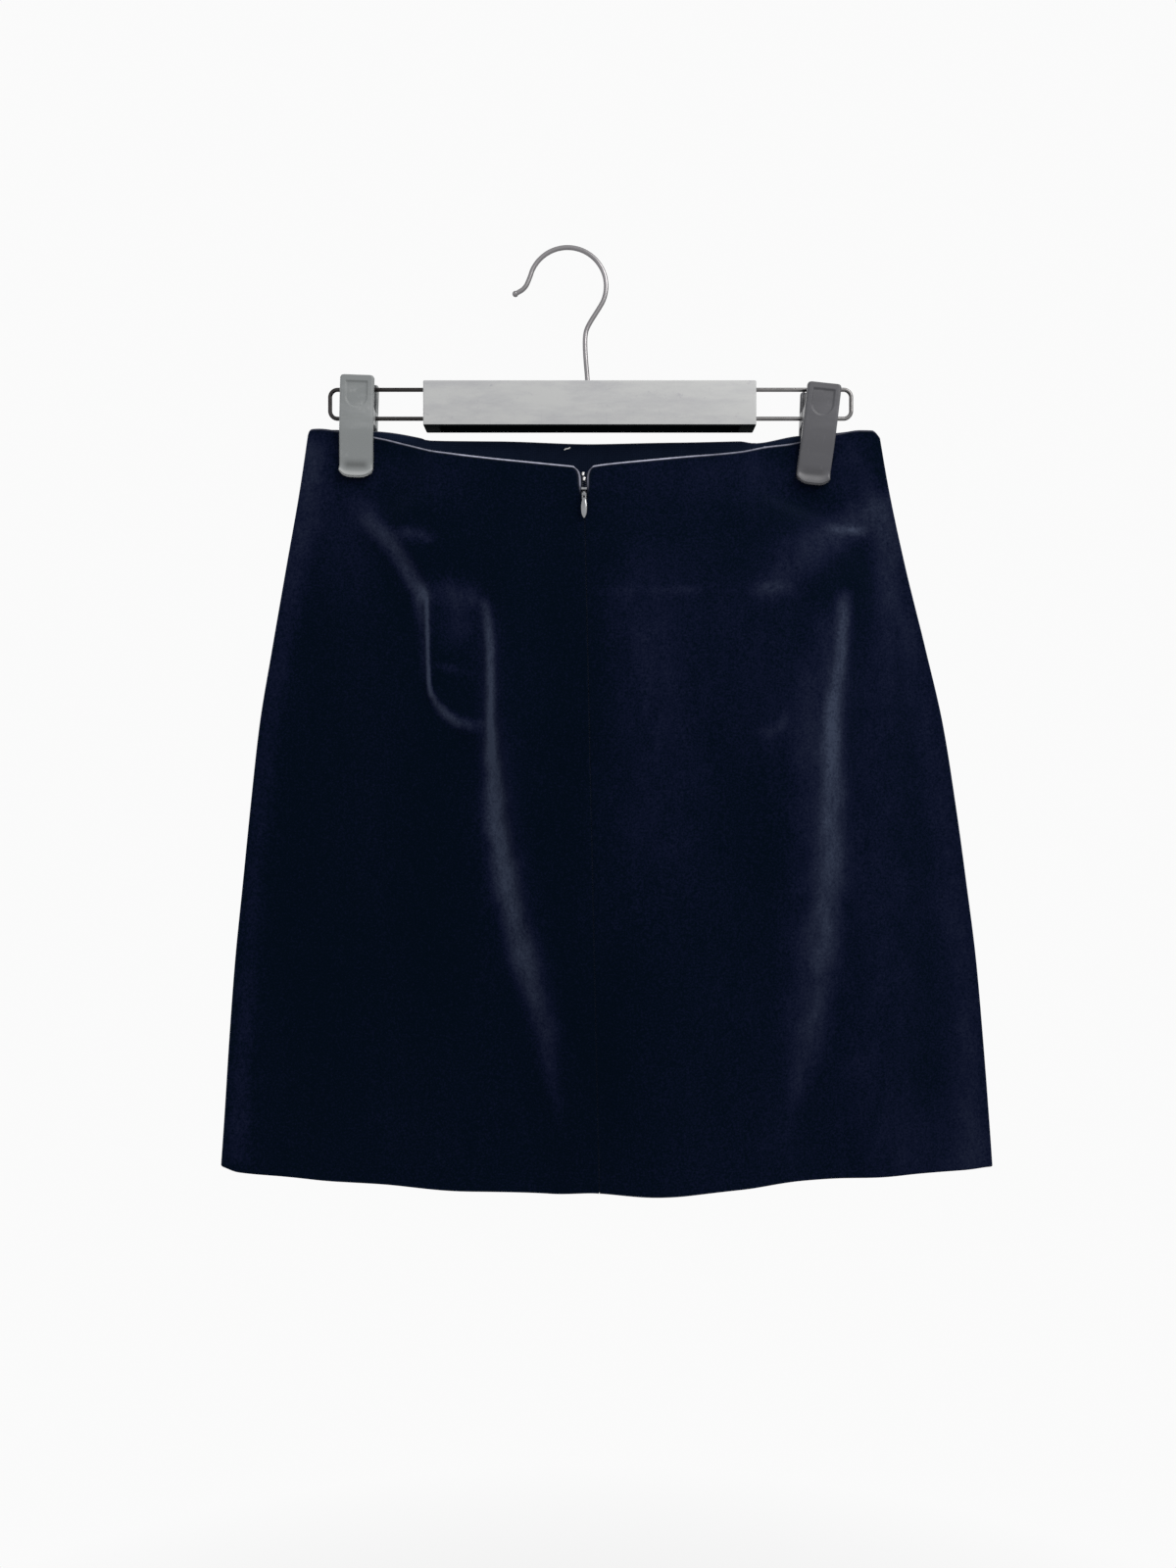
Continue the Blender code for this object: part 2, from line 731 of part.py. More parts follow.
def make_hook():
    """The hook: a ball at its open end, an outward flick, the crown, the neck and a head inside the bar."""
    crown = arc(HOOK_CROWN, HOOK_CROWN_R, *HOOK_CROWN_ARC, 22)
    tip = smoothed([HOOK_TIP, HOOK_TIP_BEND, crown[0], crown[1]])
    neck = smoothed([crown[-2], crown[-1], *HOOK_NECK])
    stem = tip[:-1] + crown[2:-2] + neck
    tip_x, tip_z = stem[0]
    way = np.array(stem[1]) - np.array(stem[0])
    way /= np.linalg.norm(way)
    ball_turns = [math.radians(a) for a in (8, 30, 55, 80, 105, 128)]
    reaches = [HOOK_BALL_R * math.cos(a) for a in ball_turns]
    ball = [(tip_x - way[0] * reach, tip_z - way[1] * reach) for reach in reaches]
    radii = [HOOK_BALL_R * math.sin(a) for a in ball_turns] + [HOOK_R] * (len(stem) - 1)
    end_x = stem[-1][0]
    head = [(end_x, HOOK_HEAD_Z + below) for below in (0.05, 0.0, -HOOK_HEAD_TALL)]
    radii += [HOOK_R, HOOK_HEAD_R, HOOK_HEAD_R]
    wire("hanger_hook", ball + stem[1:] + head, radii, 10, "wire")


def make_wires():
    for name, end_x, way in (("wire_left", WIRE_ENDS_X[0], 1), ("wire_right", WIRE_ENDS_X[1], -1)):
        inside = BAR_CENTRE_X - way * (BAR_LENGTH / 2 - WIRE_LEG_INSIDE)
        bend_x = end_x + way * WIRE_BEND_R
        upper = arc((bend_x, WIRE_TOP_Z - WIRE_BEND_R), WIRE_BEND_R, 90, 90 + way * 90, 6)
        lower = arc((bend_x, WIRE_LOW_Z + WIRE_BEND_R), WIRE_BEND_R, 90 + way * 90, 90 + way * 180, 6)
        path = [(inside, WIRE_TOP_Z), *upper, *lower, (inside, WIRE_LOW_Z)]
        wire(name, path, [WIRE_R] * len(path), 12, "wire")


def bore(target, x_range, z, radius):
    """Cuts a round hole along X through the hanging plane."""
    points, faces = slab(
        ring_outline(radius, 16),
        (x_range[1] - x_range[0]) / 2,
        lambda a, b, off: (sum(x_range) / 2 + off, a, z + b),
    )
    carve(target, add_object("bore", mesh_from("bore", points, faces), "wire"))


def make_bar():
    """The hanger's bar: a channel open below, with a solid block at each end for the wires to slide in."""
    left, right = BAR_CENTRE_X - BAR_LENGTH / 2, BAR_CENTRE_X + BAR_LENGTH / 2
    low, high = (left, BAR_FRONT_Y, BAR_TOP - BAR_HEIGHT), (right, BAR_BACK_Y, BAR_TOP)
    bar = box("hanger_bar", low, high, "bar_plastic")
    rounded(bar, BAR_EDGE_R)
    hollow = box(
        "hollow",
        (left + BAR_END, BAR_FRONT_Y + BAR_WALL, low[2] - 5),
        (right - BAR_END, BAR_BACK_Y - BAR_WALL, BAR_TOP - BAR_WALL),
        "bar_plastic",
    )
    carve(bar, hollow)
    for z in (WIRE_TOP_Z, WIRE_LOW_Z):
        bore(bar, (left - 5, left + BAR_END + 5), z, WIRE_R + SEAM_GAP)
        bore(bar, (right - BAR_END - 5, right + 5), z, WIRE_R + SEAM_GAP)
    hole_x = HOOK_NECK[-1][0]
    points, faces = slab(
        ring_outline(HOOK_R + SEAM_GAP, 16),
        2 * BAR_WALL,
        lambda a, b, off: (hole_x + a, b, BAR_TOP + off),
    )
    carve(bar, add_object("hook_hole", mesh_from("hook_hole", points, faces), "bar_plastic"))


def jaw(name, rise, tilt, x, outward, material):
    """One jaw of a clip: a channel with two flanges, its origin where it hangs on the lower wire."""
    eye = [rise + way * EYE_HALF for way in (-1.3, -1, 1, 1.3)]
    plain = [0.0, 0.6, 2.0, 7.0, 35.0, 40.0, 46.0, 52.0, 58.0, 61.0, 63.0, CLIP_LENGTH]
    below = np.array(sorted(plain + eye))
    face, flange, thick = (curve(JAW, k, below) for k in (1, 2, 3))
    flange[np.abs(below - rise) < 1.1 * EYE_HALF] = EYE_REACH
    cut_off = 0.7 * np.maximum(CLIP_TOP_CORNER - below, 0) ** 2 / CLIP_TOP_CORNER
    half = CLIP_WIDTH / 2 - cut_off
    r, soft = CLIP_CORNER, CLIP_CORNER * (1 - math.sqrt(0.5))
    third = (half - r) / 3
    outer = [(-half, flange), (-half, face - r), (soft - half, face - soft), (r - half, face), (-third, face)]
    side, deep = CLIP_WALL - half, face - thick
    inner = [(side, flange), (side, deep - 0.3), (side + 0.2, deep - 0.1), (side + 0.5, deep), (-third, deep)]
    grids = []
    for line in (outer, inner):
        line = line + [(-u, v) for u, v in reversed(line)]
        u = np.stack([np.broadcast_to(u, below.shape) for u, _ in line], axis=1)
        v = np.stack([np.broadcast_to(v, below.shape) for _, v in line], axis=1)
        sag = CLIP_SAG * (u / (CLIP_WIDTH / 2)) ** 2 * (below[:, None] / CLIP_LENGTH) ** 3
        grids.append(np.stack([u, outward * v, rise - below[:, None] + sag], axis=-1))
    made = wall(name, *grids, material)
    made.location = Vector((x, 0, WIRE_LOW_Z)) * MM
    made.rotation_euler = (0, math.radians(tilt), 0)
    return made


def thumb_rest(target, rise, tilt, x, outward):
    """Sinks the thumb rest into a jaw's face: straight above, round below."""
    half = THUMB_REST_WIDTH / 2
    top = rise - THUMB_REST_TOP
    round_top = top - THUMB_REST_STRAIGHT
    outline = [(half, top), (-half, top)]
    half_turn = np.radians(np.linspace(180, 360, 13))
    outline += [(half * math.cos(a), round_top + half * math.sin(a)) for a in half_turn]
    floor = float(curve(JAW, 1, THUMB_REST_TOP + THUMB_REST_STRAIGHT / 2)) - THUMB_REST_DEPTH
    points, faces = slab(outline, 3.0, lambda a, b, off: (a, outward * (floor + 3.0 + off), b))
    mesh = mesh_from("thumb_rest", points, faces)
    cutter = add_object("thumb_rest", mesh, "clip_plastic", (x, 0, WIRE_LOW_Z))
    cutter.rotation_euler = (0, math.radians(tilt), 0)
    carve(target, cutter)


def make_spring(name, x, tilt):
    """A bent steel leaf round the lower wire, its two legs spreading the jaws' upper ends."""
    reach = float(curve(JAW, 1, SPRING_TOP_BELOW)) - CLIP_WALL - SEAM_GAP - SPRING_THICK / 2
    leg = [(reach, SPRING_RISE), (reach - SPRING_LEG_LEAN, SPRING_RISE - SPRING_LEG)]
    path = [(-a, b) for a, b in leg] + arc((0, 0), SPRING_BEND_R, 180, 360, 12) + leg[::-1]
    path = np.array(path)
    along = np.gradient(path, axis=0)
    along /= np.linalg.norm(along, axis=1, keepdims=True)
    aside = np.stack([along[:, 1], -along[:, 0]], axis=1) * SPRING_THICK / 2
    outline = [tuple(p) for p in path + aside] + [tuple(p) for p in (path - aside)[::-1]]
    points, faces = slab(outline, SPRING_WIDTH / 2, lambda a, b, off: (off, a, b))
    spring = add_object(name, mesh_from(name, points, faces), "wire", (x, 0, WIRE_LOW_Z))
    spring.rotation_euler = (0, math.radians(tilt), 0)


def make_clips():
    for name, x, rise, tilt, back_tilt, material in CLIPS:
        for part, outward, turned in (("front", -1, tilt), ("back", 1, back_tilt)):
            made = jaw(f"clip_{name}_{part}", rise, turned, x, outward, material)
            thumb_rest(made, rise, turned, x, outward)
            bore(made, (x - CLIP_WIDTH, x + CLIP_WIDTH), WIRE_LOW_Z, WIRE_R + SEAM_GAP)
        make_spring(f"clip_{name}_spring", x, (tilt + back_tilt) / 2)


def clear_scene():
    for old in list(bpy.data.objects):
        bpy.data.objects.remove(old)


clear_scene()
make_skirt()
make_slider()
make_pull()
make_hook()
make_wires()
make_bar()
make_clips()
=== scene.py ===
"""The looks of a velvet mini skirt that hangs by its waist from a clip hanger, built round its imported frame.

Sizes are in millimetres in the frame's axes, written to the scene in metres: +X right and +Z up as one looks
at the zipped back, which faces -Y. The cloth's tables and formulas are those of the solids, read on finer
grids, with the creases laid over them.
"""

import math

import bmesh
import bpy
import numpy as np
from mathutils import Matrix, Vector


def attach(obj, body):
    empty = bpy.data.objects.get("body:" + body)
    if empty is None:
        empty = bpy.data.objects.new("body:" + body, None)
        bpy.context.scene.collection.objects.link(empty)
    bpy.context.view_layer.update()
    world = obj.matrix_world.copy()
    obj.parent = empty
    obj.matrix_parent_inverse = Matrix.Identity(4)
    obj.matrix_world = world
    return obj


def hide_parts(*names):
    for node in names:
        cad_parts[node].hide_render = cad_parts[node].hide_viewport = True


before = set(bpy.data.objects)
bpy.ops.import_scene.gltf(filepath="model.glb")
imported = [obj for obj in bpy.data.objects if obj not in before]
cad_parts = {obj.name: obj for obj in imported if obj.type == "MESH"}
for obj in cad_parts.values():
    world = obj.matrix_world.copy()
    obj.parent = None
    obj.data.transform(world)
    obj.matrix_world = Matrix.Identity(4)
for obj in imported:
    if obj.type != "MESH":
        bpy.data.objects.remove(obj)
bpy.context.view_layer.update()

MM = 0.001
BODY = "skirt_on_hanger"
PULL_BODY = "pull_tab"

# ------------------------------------------------------------------ driving dimensions, mm
CLOTH = 1.6
SEAM_GAP = 0.3
FOLD_HALF = 1.9
SKIRT_TOP = -117.0
SKIRT_HEM = -604.0
HEM_TURN_UP = 34.0  # the turned hem, inside
HEM_THICKER = 0.9
HEM_STEP = 2.4  # over which the turned hem's upper edge thickens
HEM_SIDE_FADE = 5.0
CREASE_SIDE_FADE = 14.0  # creases fade out this near a side seam
RIM_STEPS = 5  # points round the rounded edge of a cloth

WIRE_R = 1.3
WIRE_TOP_Z = -91.4
WIRE_LOW_Z = -110.3
WIRE_ENDS_X = (-155.6, 184.6)
WIRE_BEND_R = 5.0
WIRE_LEG_INSIDE = 58.0

HOOK_R = 1.5
HOOK_CROWN_R = 25.2
HOOK_CROWN = (-0.6, HOOK_R - HOOK_CROWN_R)
HOOK_CROWN_ARC = (166.8, -33.0)
HOOK_BALL_R = 1.95
HOOK_BALL_TURNS = (4, 15, 30, 45, 60, 75, 90, 105, 118, 130)  # degrees round the ball at the wire's tip
HOOK_TIP = (-34.6, -28.8)
HOOK_TIP_BEND = (-28.2, -25.2)
HOOK_NECK = ((12.4, -50.0), (10.7, -56.5), (11.0, -68.7), (12.4, -84.0), (12.5, -90.4))
HOOK_HEAD_R = 3.0
HOOK_HEAD_Z = -92.2
HOOK_HEAD_TALL = 2.0
WIRE_SIDES = 28

BAR_LENGTH = 215.6
BAR_HEIGHT = 29.4
BAR_FRONT_Y = -8.0
BAR_BACK_Y = 9.0
BAR_WALL = 2.0
BAR_END = 10.0
BAR_CENTRE_X = 13.9
BAR_TOP = -87.6
BAR_EDGE_R = 1.0
BAR_SHADE_RIM = 1.2  # how far up its lower edges are painted dark as shade, where they face down
BORE_REACH = 5.0  # how far a bore's cutter stands out at each end

CLIP_WIDTH = 22.0
CLIP_LENGTH = 65.0
CLIP_CORNER = 1.6
CLIP_WALL = 2.0
CLIP_INNER_CORNER = (0.05, 0.6)
CLIP_SAG = 4.4  # how far its lower edge rises at the sides
CLIP_SAG_POWERS = (3.6, 6)  # across, down
CLIP_TOP_CORNER = 2.0
CLIP_TOP_CUT = 0.7
CLIP_PRESS_REACH = 9.0  # the cloth lies flat this far round a clip
CLIP_PRESS_FADE = 7.0
JAW_FINE_TO = 22.0
JAW_ROWS = (56, 74)  # down to there, and below it
FACE_COLUMNS = 22
LIP_TOP = 59.5
LIP_FADE = 3.0
# painted highlight: how much lighter a clip's lip is painted, where it faces up
LIP_PAINTED_HIGHLIGHT = {"clip_plastic": 0.9, "clip_plastic_dark": 0.0}
CREASE_BELOW = 56.6  # painted shade: a dark band is painted across the crease above the lip
CREASE_HALF = (9.6, 2.4)  # across, down
CREASE_FADE = 5.0
CREASE_PAINTED_SHADE = {"clip_plastic": 0.8, "clip_plastic_dark": 0.5}
THUMB_REST_WIDTH = 13.7
THUMB_REST_TOP = 4.2
THUMB_REST_STRAIGHT = 9.5
THUMB_REST_DEPTH = 1.0
THUMB_REST_EDGE = 0.7
THUMB_REST_REACH = 9.0
EYE_HALF = 4.2  # the ears round the lower wire
EYE_FADE = 0.3
EYE_REACH = 0.4
SPRING_WIDTH = 9.0
SPRING_THICK = 0.8
SPRING_BEND_R = 2.2
SPRING_RISE = 15.5
SPRING_LEG = 6.0
SPRING_LEG_LEAN = 1.4
SPRING_TOP_BELOW = 10.0

CB_TOP = (9.9, -145.0)
CB_HEM = (19.8, -609.5)
ZIP_END_Z = -335.0
TAPE_WIDTH = 9.0
TAPE_THICK = 1.0
TAPE_FIRST_ROW = 3
TAPE_COLUMNS = 9
TAPES_APART = 0.9  # from the slit's middle to each tape's edge, above the slider
TAPES_APART_ABOVE = -160.0
TAPES_APART_FADE = 4.0
COIL_PITCH = 1.3
COIL_WIRE_R = 0.26
COIL_LOOP = (1.05, 0.8)  # half of a tooth's loop: across, deep
COIL_OFF = (0.3, 0.35)  # its middle, past the tape's edge and off the tape's face
COIL_STEPS = 10
COIL_SIDES = 6
COIL_BELOW_STOP = 1.9
ZIP_STOP_SIZE = (1.7, 2.0, 2.4)
ZIP_STOP_OFF = 0.3
ZIP_STOP_EDGE_R = 0.45
ZIP_STOPS_Z = {"left": -149.6, "right": -152.85}

PULL_PIVOT = (10.3, -18.9, -164.0)
PULL_BAR_R = 0.6
PULL_BAR_ROOT = 0.4
PULL_WINDOW = (0.9, 2.4)
PULL_SIDES = 40
DENT_DEEP = 0.15  # the groove pressed into each face of the pull tab
DENT_BELOW = 9.6
DENT_HALF = (0.624, 2.64)
DENT_CUTTER = 0.45
RING_HOLE_R = 1.0
RING_R = 1.75
RING_WIDTH = 1.2
SLIDER_BODY = (6.4, 3.0, 8.0)
SLIDER_EDGE_R = 0.8
SLIDER_GAP = 0.36
NECK_HALF = 1.3
BRIDGE_HALF = 1.7
BRIDGE_ABOVE = (3.2, 4.5)
BRIDGE_BEHIND = 1.2  # its outer face, behind the pivot
RING_EDGE_R = 0.22

# ------------------------------------------------------------------ tables, mm
SECTION_COLUMNS = ("z", "left", "right", "back", "front")
SECTIONS = (
    (-117, -169.5, 202.4, 12.5, 10.5), (-157, -175.4, 209.3, 15.5, 12.5), (-208, -184.3, 220.2, 22.5, 15.5),
    (-260, -193.3, 233, 27.5, 17.5), (-310, -201.6, 244.5, 29, 18.5), (-362, -207.4, 252.8, 29, 19),
    (-413, -212.5, 259.8, 28.5, 19.5), (-464, -217.6, 266.2, 27.5, 20), (-515, -221.4, 270.7, 26.5, 20),
    (-566, -224.6, 274.6, 25.5, 20), (-612, -227.8, 277.8, 24.5, 20),
)

FOLD_COLUMNS = ("z", "x", "width", "share")
BACK_LEFT_FOLDS = {
    "wing": (
        (-117, -97, 50, 0.3), (-157, -100, 48, 0.3), (-184, -138, 66, 0.25), (-223, -140, 84, 0.3),
        (-290, -145, 100, 0.36), (-360, -135, 130, 0.38), (-480, -125, 160, 0.42), (-612, -118, 180, 0.46),
    ),
    "drag": (
        (-117, -76, 60, 0.2), (-157, -108, 30, 0.2), (-184, -112, 18, 0.22), (-223, -92, 12, 0.16),
        (-286, -88, 10, 0.12), (-310, -72, 16, 0.1), (-330, -52, 18, 0.02), (-345, -45, 18, 0),
        (-612, -20, 18, 0),
    ),
    "ridge": (
        (-117, -40, 60, 0.25), (-184, -48, 50, 0.15), (-234, -50.6, 22, 0.18), (-286, -47.5, 16, 0.24),
        (-318, -46.9, 15, 0.34), (-349, -43.8, 16, 0.36), (-411, -36.3, 20, 0.32), (-473, -23.9, 22, 0.22),
        (-535, -11.4, 26, 0.12), (-612, -6, 30, 0.05),
    ),
    "crown": ((-117, 6, 70, 0), (-612, 20, 120, 0)),
}
BACK_RIGHT_FOLDS = {
    "wing": (
        (-117, 128, 36, 0.3), (-157, 127, 34, 0.3), (-184, 176, 46, 0.26), (-224, 204, 32, 0.35),
        (-286, 215, 40, 0.36), (-411, 218, 70, 0.4), (-536, 225, 88, 0.46), (-612, 225, 96, 0.5),
    ),
    "drag": (
        (-117, 116, 56, 0.14), (-157, 126, 36, 0.14), (-184, 160, 30, 0.16), (-224, 138, 22, 0.14),
        (-286, 138, 18, 0.08), (-311, 132, 20, 0.05), (-345, 130, 24, 0), (-612, 130, 24, 0),
    ),
    "ridge": (
        (-117, 96, 66, 0.3), (-157, 108, 64, 0.3), (-184, 150, 56, 0.3), (-224, 177, 46, 0.35),
        (-286, 175, 40, 0.4), (-349, 169, 38, 0.42), (-411, 165, 38, 0.4), (-474, 159, 40, 0.34),
        (-536, 150, 46, 0.26), (-612, 140, 54, 0.18),
    ),
    "crown": ((-117, 60, 100, 0), (-612, 96, 120, 0)),
}
FRONT_LEFT_FOLDS = {
    "wing": (
        (-117, -100, 46, 0.34), (-157, -102, 44, 0.34), (-200, -146, 64, 0.3), (-300, -150, 90, 0.36),
        (-450, -150, 120, 0.42), (-612, -140, 150, 0.46),
    ),
    "ridge": (
        (-117, -70, 50, 0.3), (-190, -82, 34, 0.3), (-240, -74, 24, 0.34), (-330, -66, 24, 0.34),
        (-450, -78, 30, 0.28), (-612, -90, 40, 0.14),
    ),
    "crown": ((-117, -20, 90, 0), (-612, -20, 110, 0)),
}
FRONT_RIGHT_FOLDS = {
    "wing": (
        (-117, 128, 38, 0.34), (-157, 130, 36, 0.34), (-200, 180, 56, 0.3), (-300, 192, 84, 0.38),
        (-450, 198, 110, 0.42), (-612, 200, 130, 0.46),
    ),
    "ridge": (
        (-117, 98, 50, 0.3), (-190, 114, 40, 0.28), (-250, 120, 30, 0.3), (-360, 128, 28, 0.32),
        (-480, 142, 34, 0.24), (-612, 150, 44, 0.12),
    ),
    "crown": ((-117, 50, 90, 0), (-612, 55, 110, 0)),
}

# The waist's and the hem's edges: x, z.
BACK_WAIST = (
    (-169.8, -120.2), (-168.8, -118.4), (-167, -117.3), (-163, -117.1), (-150, -118.6), (-124, -122.9),
    (-104, -128), (-86, -133), (-55, -137.6), (-18, -141.9), (0, -144), (10, -145.2), (22, -143.8),
    (52, -140.8), (78, -138.2), (111, -133.8), (130, -129), (149, -126), (175, -120.5), (190, -118),
    (198, -118.2), (203, -122.5),
)
FRONT_WAIST = (
    (-169.8, -120.2), (-168.8, -118.4), (-167, -117.3), (-163, -117.1), (-124, -118.3), (-97, -122),
    (-92, -123.4), (-40, -122.6), (15, -123.3), (112, -123.5), (123, -125.2), (150, -121.2), (175, -119.3),
    (190, -117.8), (198, -118.2), (203, -122.5),
)
BACK_HEM = (
    (-227, -597.8), (-215, -602.3), (-185, -604.7), (-123, -608.4), (-62, -611), (-11, -611.7), (20, -609.4),
    (54, -610.3), (110, -606.7), (151, -603.2), (214, -601.4), (256, -600.4), (278, -598.1),
)
FRONT_HEM = (
    (-227, -597.8), (-215, -601.6), (-150, -604), (-60, -606.5), (25, -607.5), (110, -606), (200, -602.5),
    (260, -600.2), (278, -598.1),
)
# The gap along the centre back: z, half its width.
ZIP_SLIT = (
    (-143, 7.4), (-145.4, 5.5), (-147, 3.7), (-149.2, 2.5), (-152.5, 1.95), (-158, 1.9), (-166.5, 1.9),
    (-171, SEAM_GAP / 2), (-700, SEAM_GAP / 2),
)

# A jaw: distance below its top, how far out its face and its flanges' edges lie, thickness.
JAW = (
    (0, 11.4, 8.6, 2), (6, 11.3, 8, 2), (12, 11, 7.6, 2), (34, 9.2, 5.6, 2), (46, 7.1, 4.2, 2),
    (52, 6, 2.3, 2.2), (58, 4.9, 2.3, 2.3), (61, 5.5, 2.3, 2.9), (65, 7.4, 3.4, 3),
)
# The clips: name, x, rise of the top over the lower wire, tilt of the front and the back jaw, slot.
CLIPS = (
    ("left", -136.8, 25.2, 2, 1, "clip_plastic"),
    ("right", 163.3, 20.1, 6.1, 2.6, "clip_plastic_dark"),
)
# The pull tab: distance below its pivot, half width, thickness, and how round its section is: 1 is an
# ellipse, and towards 0 it nears a box.
PULL = (
    (-0.6, 1.1, 0.8, 0.35), (0, 1.4, 1, 0.35), (2.4, 1.35, 1, 0.4), (3.4, 1.25, 1.1, 0.7),
    (5.6, 1.75, 1.6, 0.9), (8.2, 2, 1.75, 0.95), (11.6, 1.8, 1.45, 0.95), (13.9, 1.15, 1, 0.95),
    (15.2, 0.35, 0.5, 0.95),
)

# Creases laid over the folds. A row is x, z, the line's soft half width there, and its height: above 0 a
# ridge, below 0 a trough.
BACK_CREASES = {
    "left dart": (
        (-89.5, -133, 0.9, -0.55), (-89.8, -190, 0.9, -0.5), (-89.5, -240, 0.8, -0.3), (-89, -286, 0.8, 0),
    ),
    "left dart, pinched": (
        (-90, -212, 3, 0), (-89.5, -240, 2.4, 0.8), (-89, -284, 2.4, 1.5), (-87, -291, 2.8, 1.2),
    ),
    "left dart's end": (
        (-87, -291, 2.8, 1.2), (-80, -302, 3.2, 1.1), (-71, -310, 3.8, 0.9), (-52, -315, 5, 0),
    ),
    "left dent": ((-77, -222, 12, 0), (-72, -252, 15, -1.7), (-68, -284, 14, -1.9), (-62, -318, 12, 0)),
    "left drag": (
        (-142, -160, 7, 0), (-125, -177, 8, 1.3), (-108, -200, 8, 1.5), (-92, -226, 7, 0.6),
        (-84, -242, 6, 0),
    ),
    "left drag, under it": (
        (-150, -172, 8, 0), (-132, -196, 9, -0.9), (-112, -226, 9, -1.1), (-98, -258, 8, 0),
    ),
    "left drag, outer": (
        (-160, -172, 7, 0), (-156, -205, 9, 0.9), (-150, -250, 11, 0.9), (-146, -310, 12, 0),
    ),
    "left streak, sharp": (
        (-50, -232, 4, 0), (-50, -262, 3.6, 0.7), (-49, -312, 3.6, 1), (-44, -362, 4.5, 0.7),
        (-38, -400, 6, 0),
    ),
    "left hem flute": ((-158, -612, 17, 1.6), (-152, -560, 15, 1), (-146, -490, 14, 0)),
    "left hem flute, inner": ((-74, -612, 20, 1.2), (-78, -550, 18, 0.8), (-84, -470, 16, 0)),
    "left hem hollow": ((-116, -612, 18, -1.3), (-114, -555, 16, -0.8), (-112, -480, 15, 0)),
    "centre swell": ((62, -620, 42, 1), (58, -500, 44, 1.2), (54, -380, 40, 1), (50, -250, 36, 0)),
    "zip pucker, upper": ((22, -196, 5, 0), (32, -200, 6, 0.5), (48, -206, 7, 0)),
    "zip pucker, lower": ((20, -226.5, 2.2, 0.1), (46, -227, 2.4, 0.45), (88, -226, 3, 0)),
    "zip pucker, left": ((4, -212, 5, 0), (-8, -216, 6, 0.5), (-24, -224, 7, 0)),
    "zip end pucker": ((13, -322, 4, 0), (12, -338, 5, 0.5), (12, -360, 6, 0)),
    "right dart": (
        (128, -131, 0.9, -0.55), (130, -190, 0.9, -0.5), (130.6, -250, 0.8, -0.35), (130.8, -308, 0.8, -0.1),
    ),
    "right dart's end": ((117, -309, 3, 0), (126, -311.5, 3, 0.8), (138, -311, 4, 0)),
    "right drag": (
        (190, -166, 8, 0), (184, -186, 9, 1.5), (160, -206, 9, 1.2), (134, -224, 8, 0.6), (120, -234, 8, 0),
    ),
    "right drag, under it": ((200, -184, 8, 0), (176, -212, 9, -1), (152, -236, 9, -0.9), (140, -262, 9, 0)),
    "right drag, outer": ((196, -160, 6, 0), (204, -190, 8, 0.8), (212, -240, 10, 0.8), (216, -300, 12, 0)),
    "right streak, sharp": (
        (176, -232, 5, 0), (173, -290, 5, 0.8), (168, -340, 5, 1.1), (164, -400, 6, 0.9), (160, -470, 8, 0),
    ),
    "right hem flute": ((206, -612, 16, 1.5), (204, -560, 14, 0.9), (202, -490, 13, 0)),
    "right hem hollow": ((176, -612, 14, -1.2), (178, -560, 12, -0.7), (180, -500, 12, 0)),
    "right hem flute, inner": ((112, -612, 18, 1.1), (114, -560, 16, 0.6), (116, -490, 15, 0)),
    "waist dip, left": ((-60, -139, 14, 0.4), (-62, -158, 14, 0.3), (-64, -180, 14, 0)),
    "waist dip, right": ((74, -139, 16, 0.5), (76, -160, 15, 0.3), (78, -184, 14, 0)),
}
FRONT_CREASES = {
    "left dart": ((-93, -122, 0.9, -0.55), (-90, -170, 0.9, -0.5), (-86, -214, 0.8, 0)),
    "left dart's end": ((-88, -206, 3.5, 0), (-85, -222, 3.5, 0.9), (-80, -240, 4.5, 0)),
    "left drag": ((-146, -160, 7, 0), (-128, -182, 8, 1.2), (-104, -208, 9, 1.2), (-84, -236, 8, 0)),
    "left drag, under it": ((-152, -176, 8, 0), (-132, -204, 9, -1), (-112, -238, 9, 0)),
    "left long fold": ((-70, -260, 6, 0), (-66, -330, 6, 0.8), (-72, -420, 8, 0.6), (-80, -500, 10, 0)),
    "left hem flute": ((-148, -612, 18, 1.4), (-144, -550, 16, 0.8), (-140, -480, 15, 0)),
    "left hem hollow": ((-104, -612, 17, -1.2), (-102, -550, 15, -0.7), (-100, -490, 14, 0)),
    "centre flute": ((18, -612, 24, 1.3), (14, -540, 22, 0.9), (10, -440, 20, 0)),
    "centre swell": ((40, -560, 44, 0.8), (30, -420, 46, 1.2), (26, -300, 42, 0)),
    "right dart": ((122, -124, 0.9, -0.55), (119, -170, 0.9, -0.5), (115, -218, 0.8, 0)),
    "right dart's end": ((117, -208, 3.5, 0), (114, -226, 3.5, 0.9), (110, -244, 4.5, 0)),
    "right drag": ((188, -164, 7, 0), (168, -186, 8, 1.2), (142, -212, 9, 1.2), (118, -240, 8, 0)),
    "right drag, under it": ((196, -180, 8, 0), (172, -210, 9, -1), (150, -244, 9, 0)),
    "right long fold": ((124, -270, 6, 0), (130, -350, 6, 0.8), (136, -430, 8, 0.5), (144, -500, 10, 0)),
    "right hem flute": ((202, -612, 17, 1.4), (198, -550, 15, 0.8), (194, -490, 14, 0)),
    "right hem hollow": ((158, -612, 15, -1.1), (160, -550, 14, -0.6), (162, -490, 13, 0)),
}
# The line that each dart's columns gather round, from waist to hem: z, x.
BACK_LEFT_DART = ((-117, -89.3), (-190, -89.8), (-286, -89), (-612, -104))
BACK_RIGHT_DART = ((-117, 127.6), (-190, 130), (-312, 130.8), (-612, 148))
FRONT_LEFT_DART = ((-117, -93.2), (-214, -86), (-612, -102))
FRONT_RIGHT_DART = ((-117, 122.2), (-218, 115), (-612, 148))
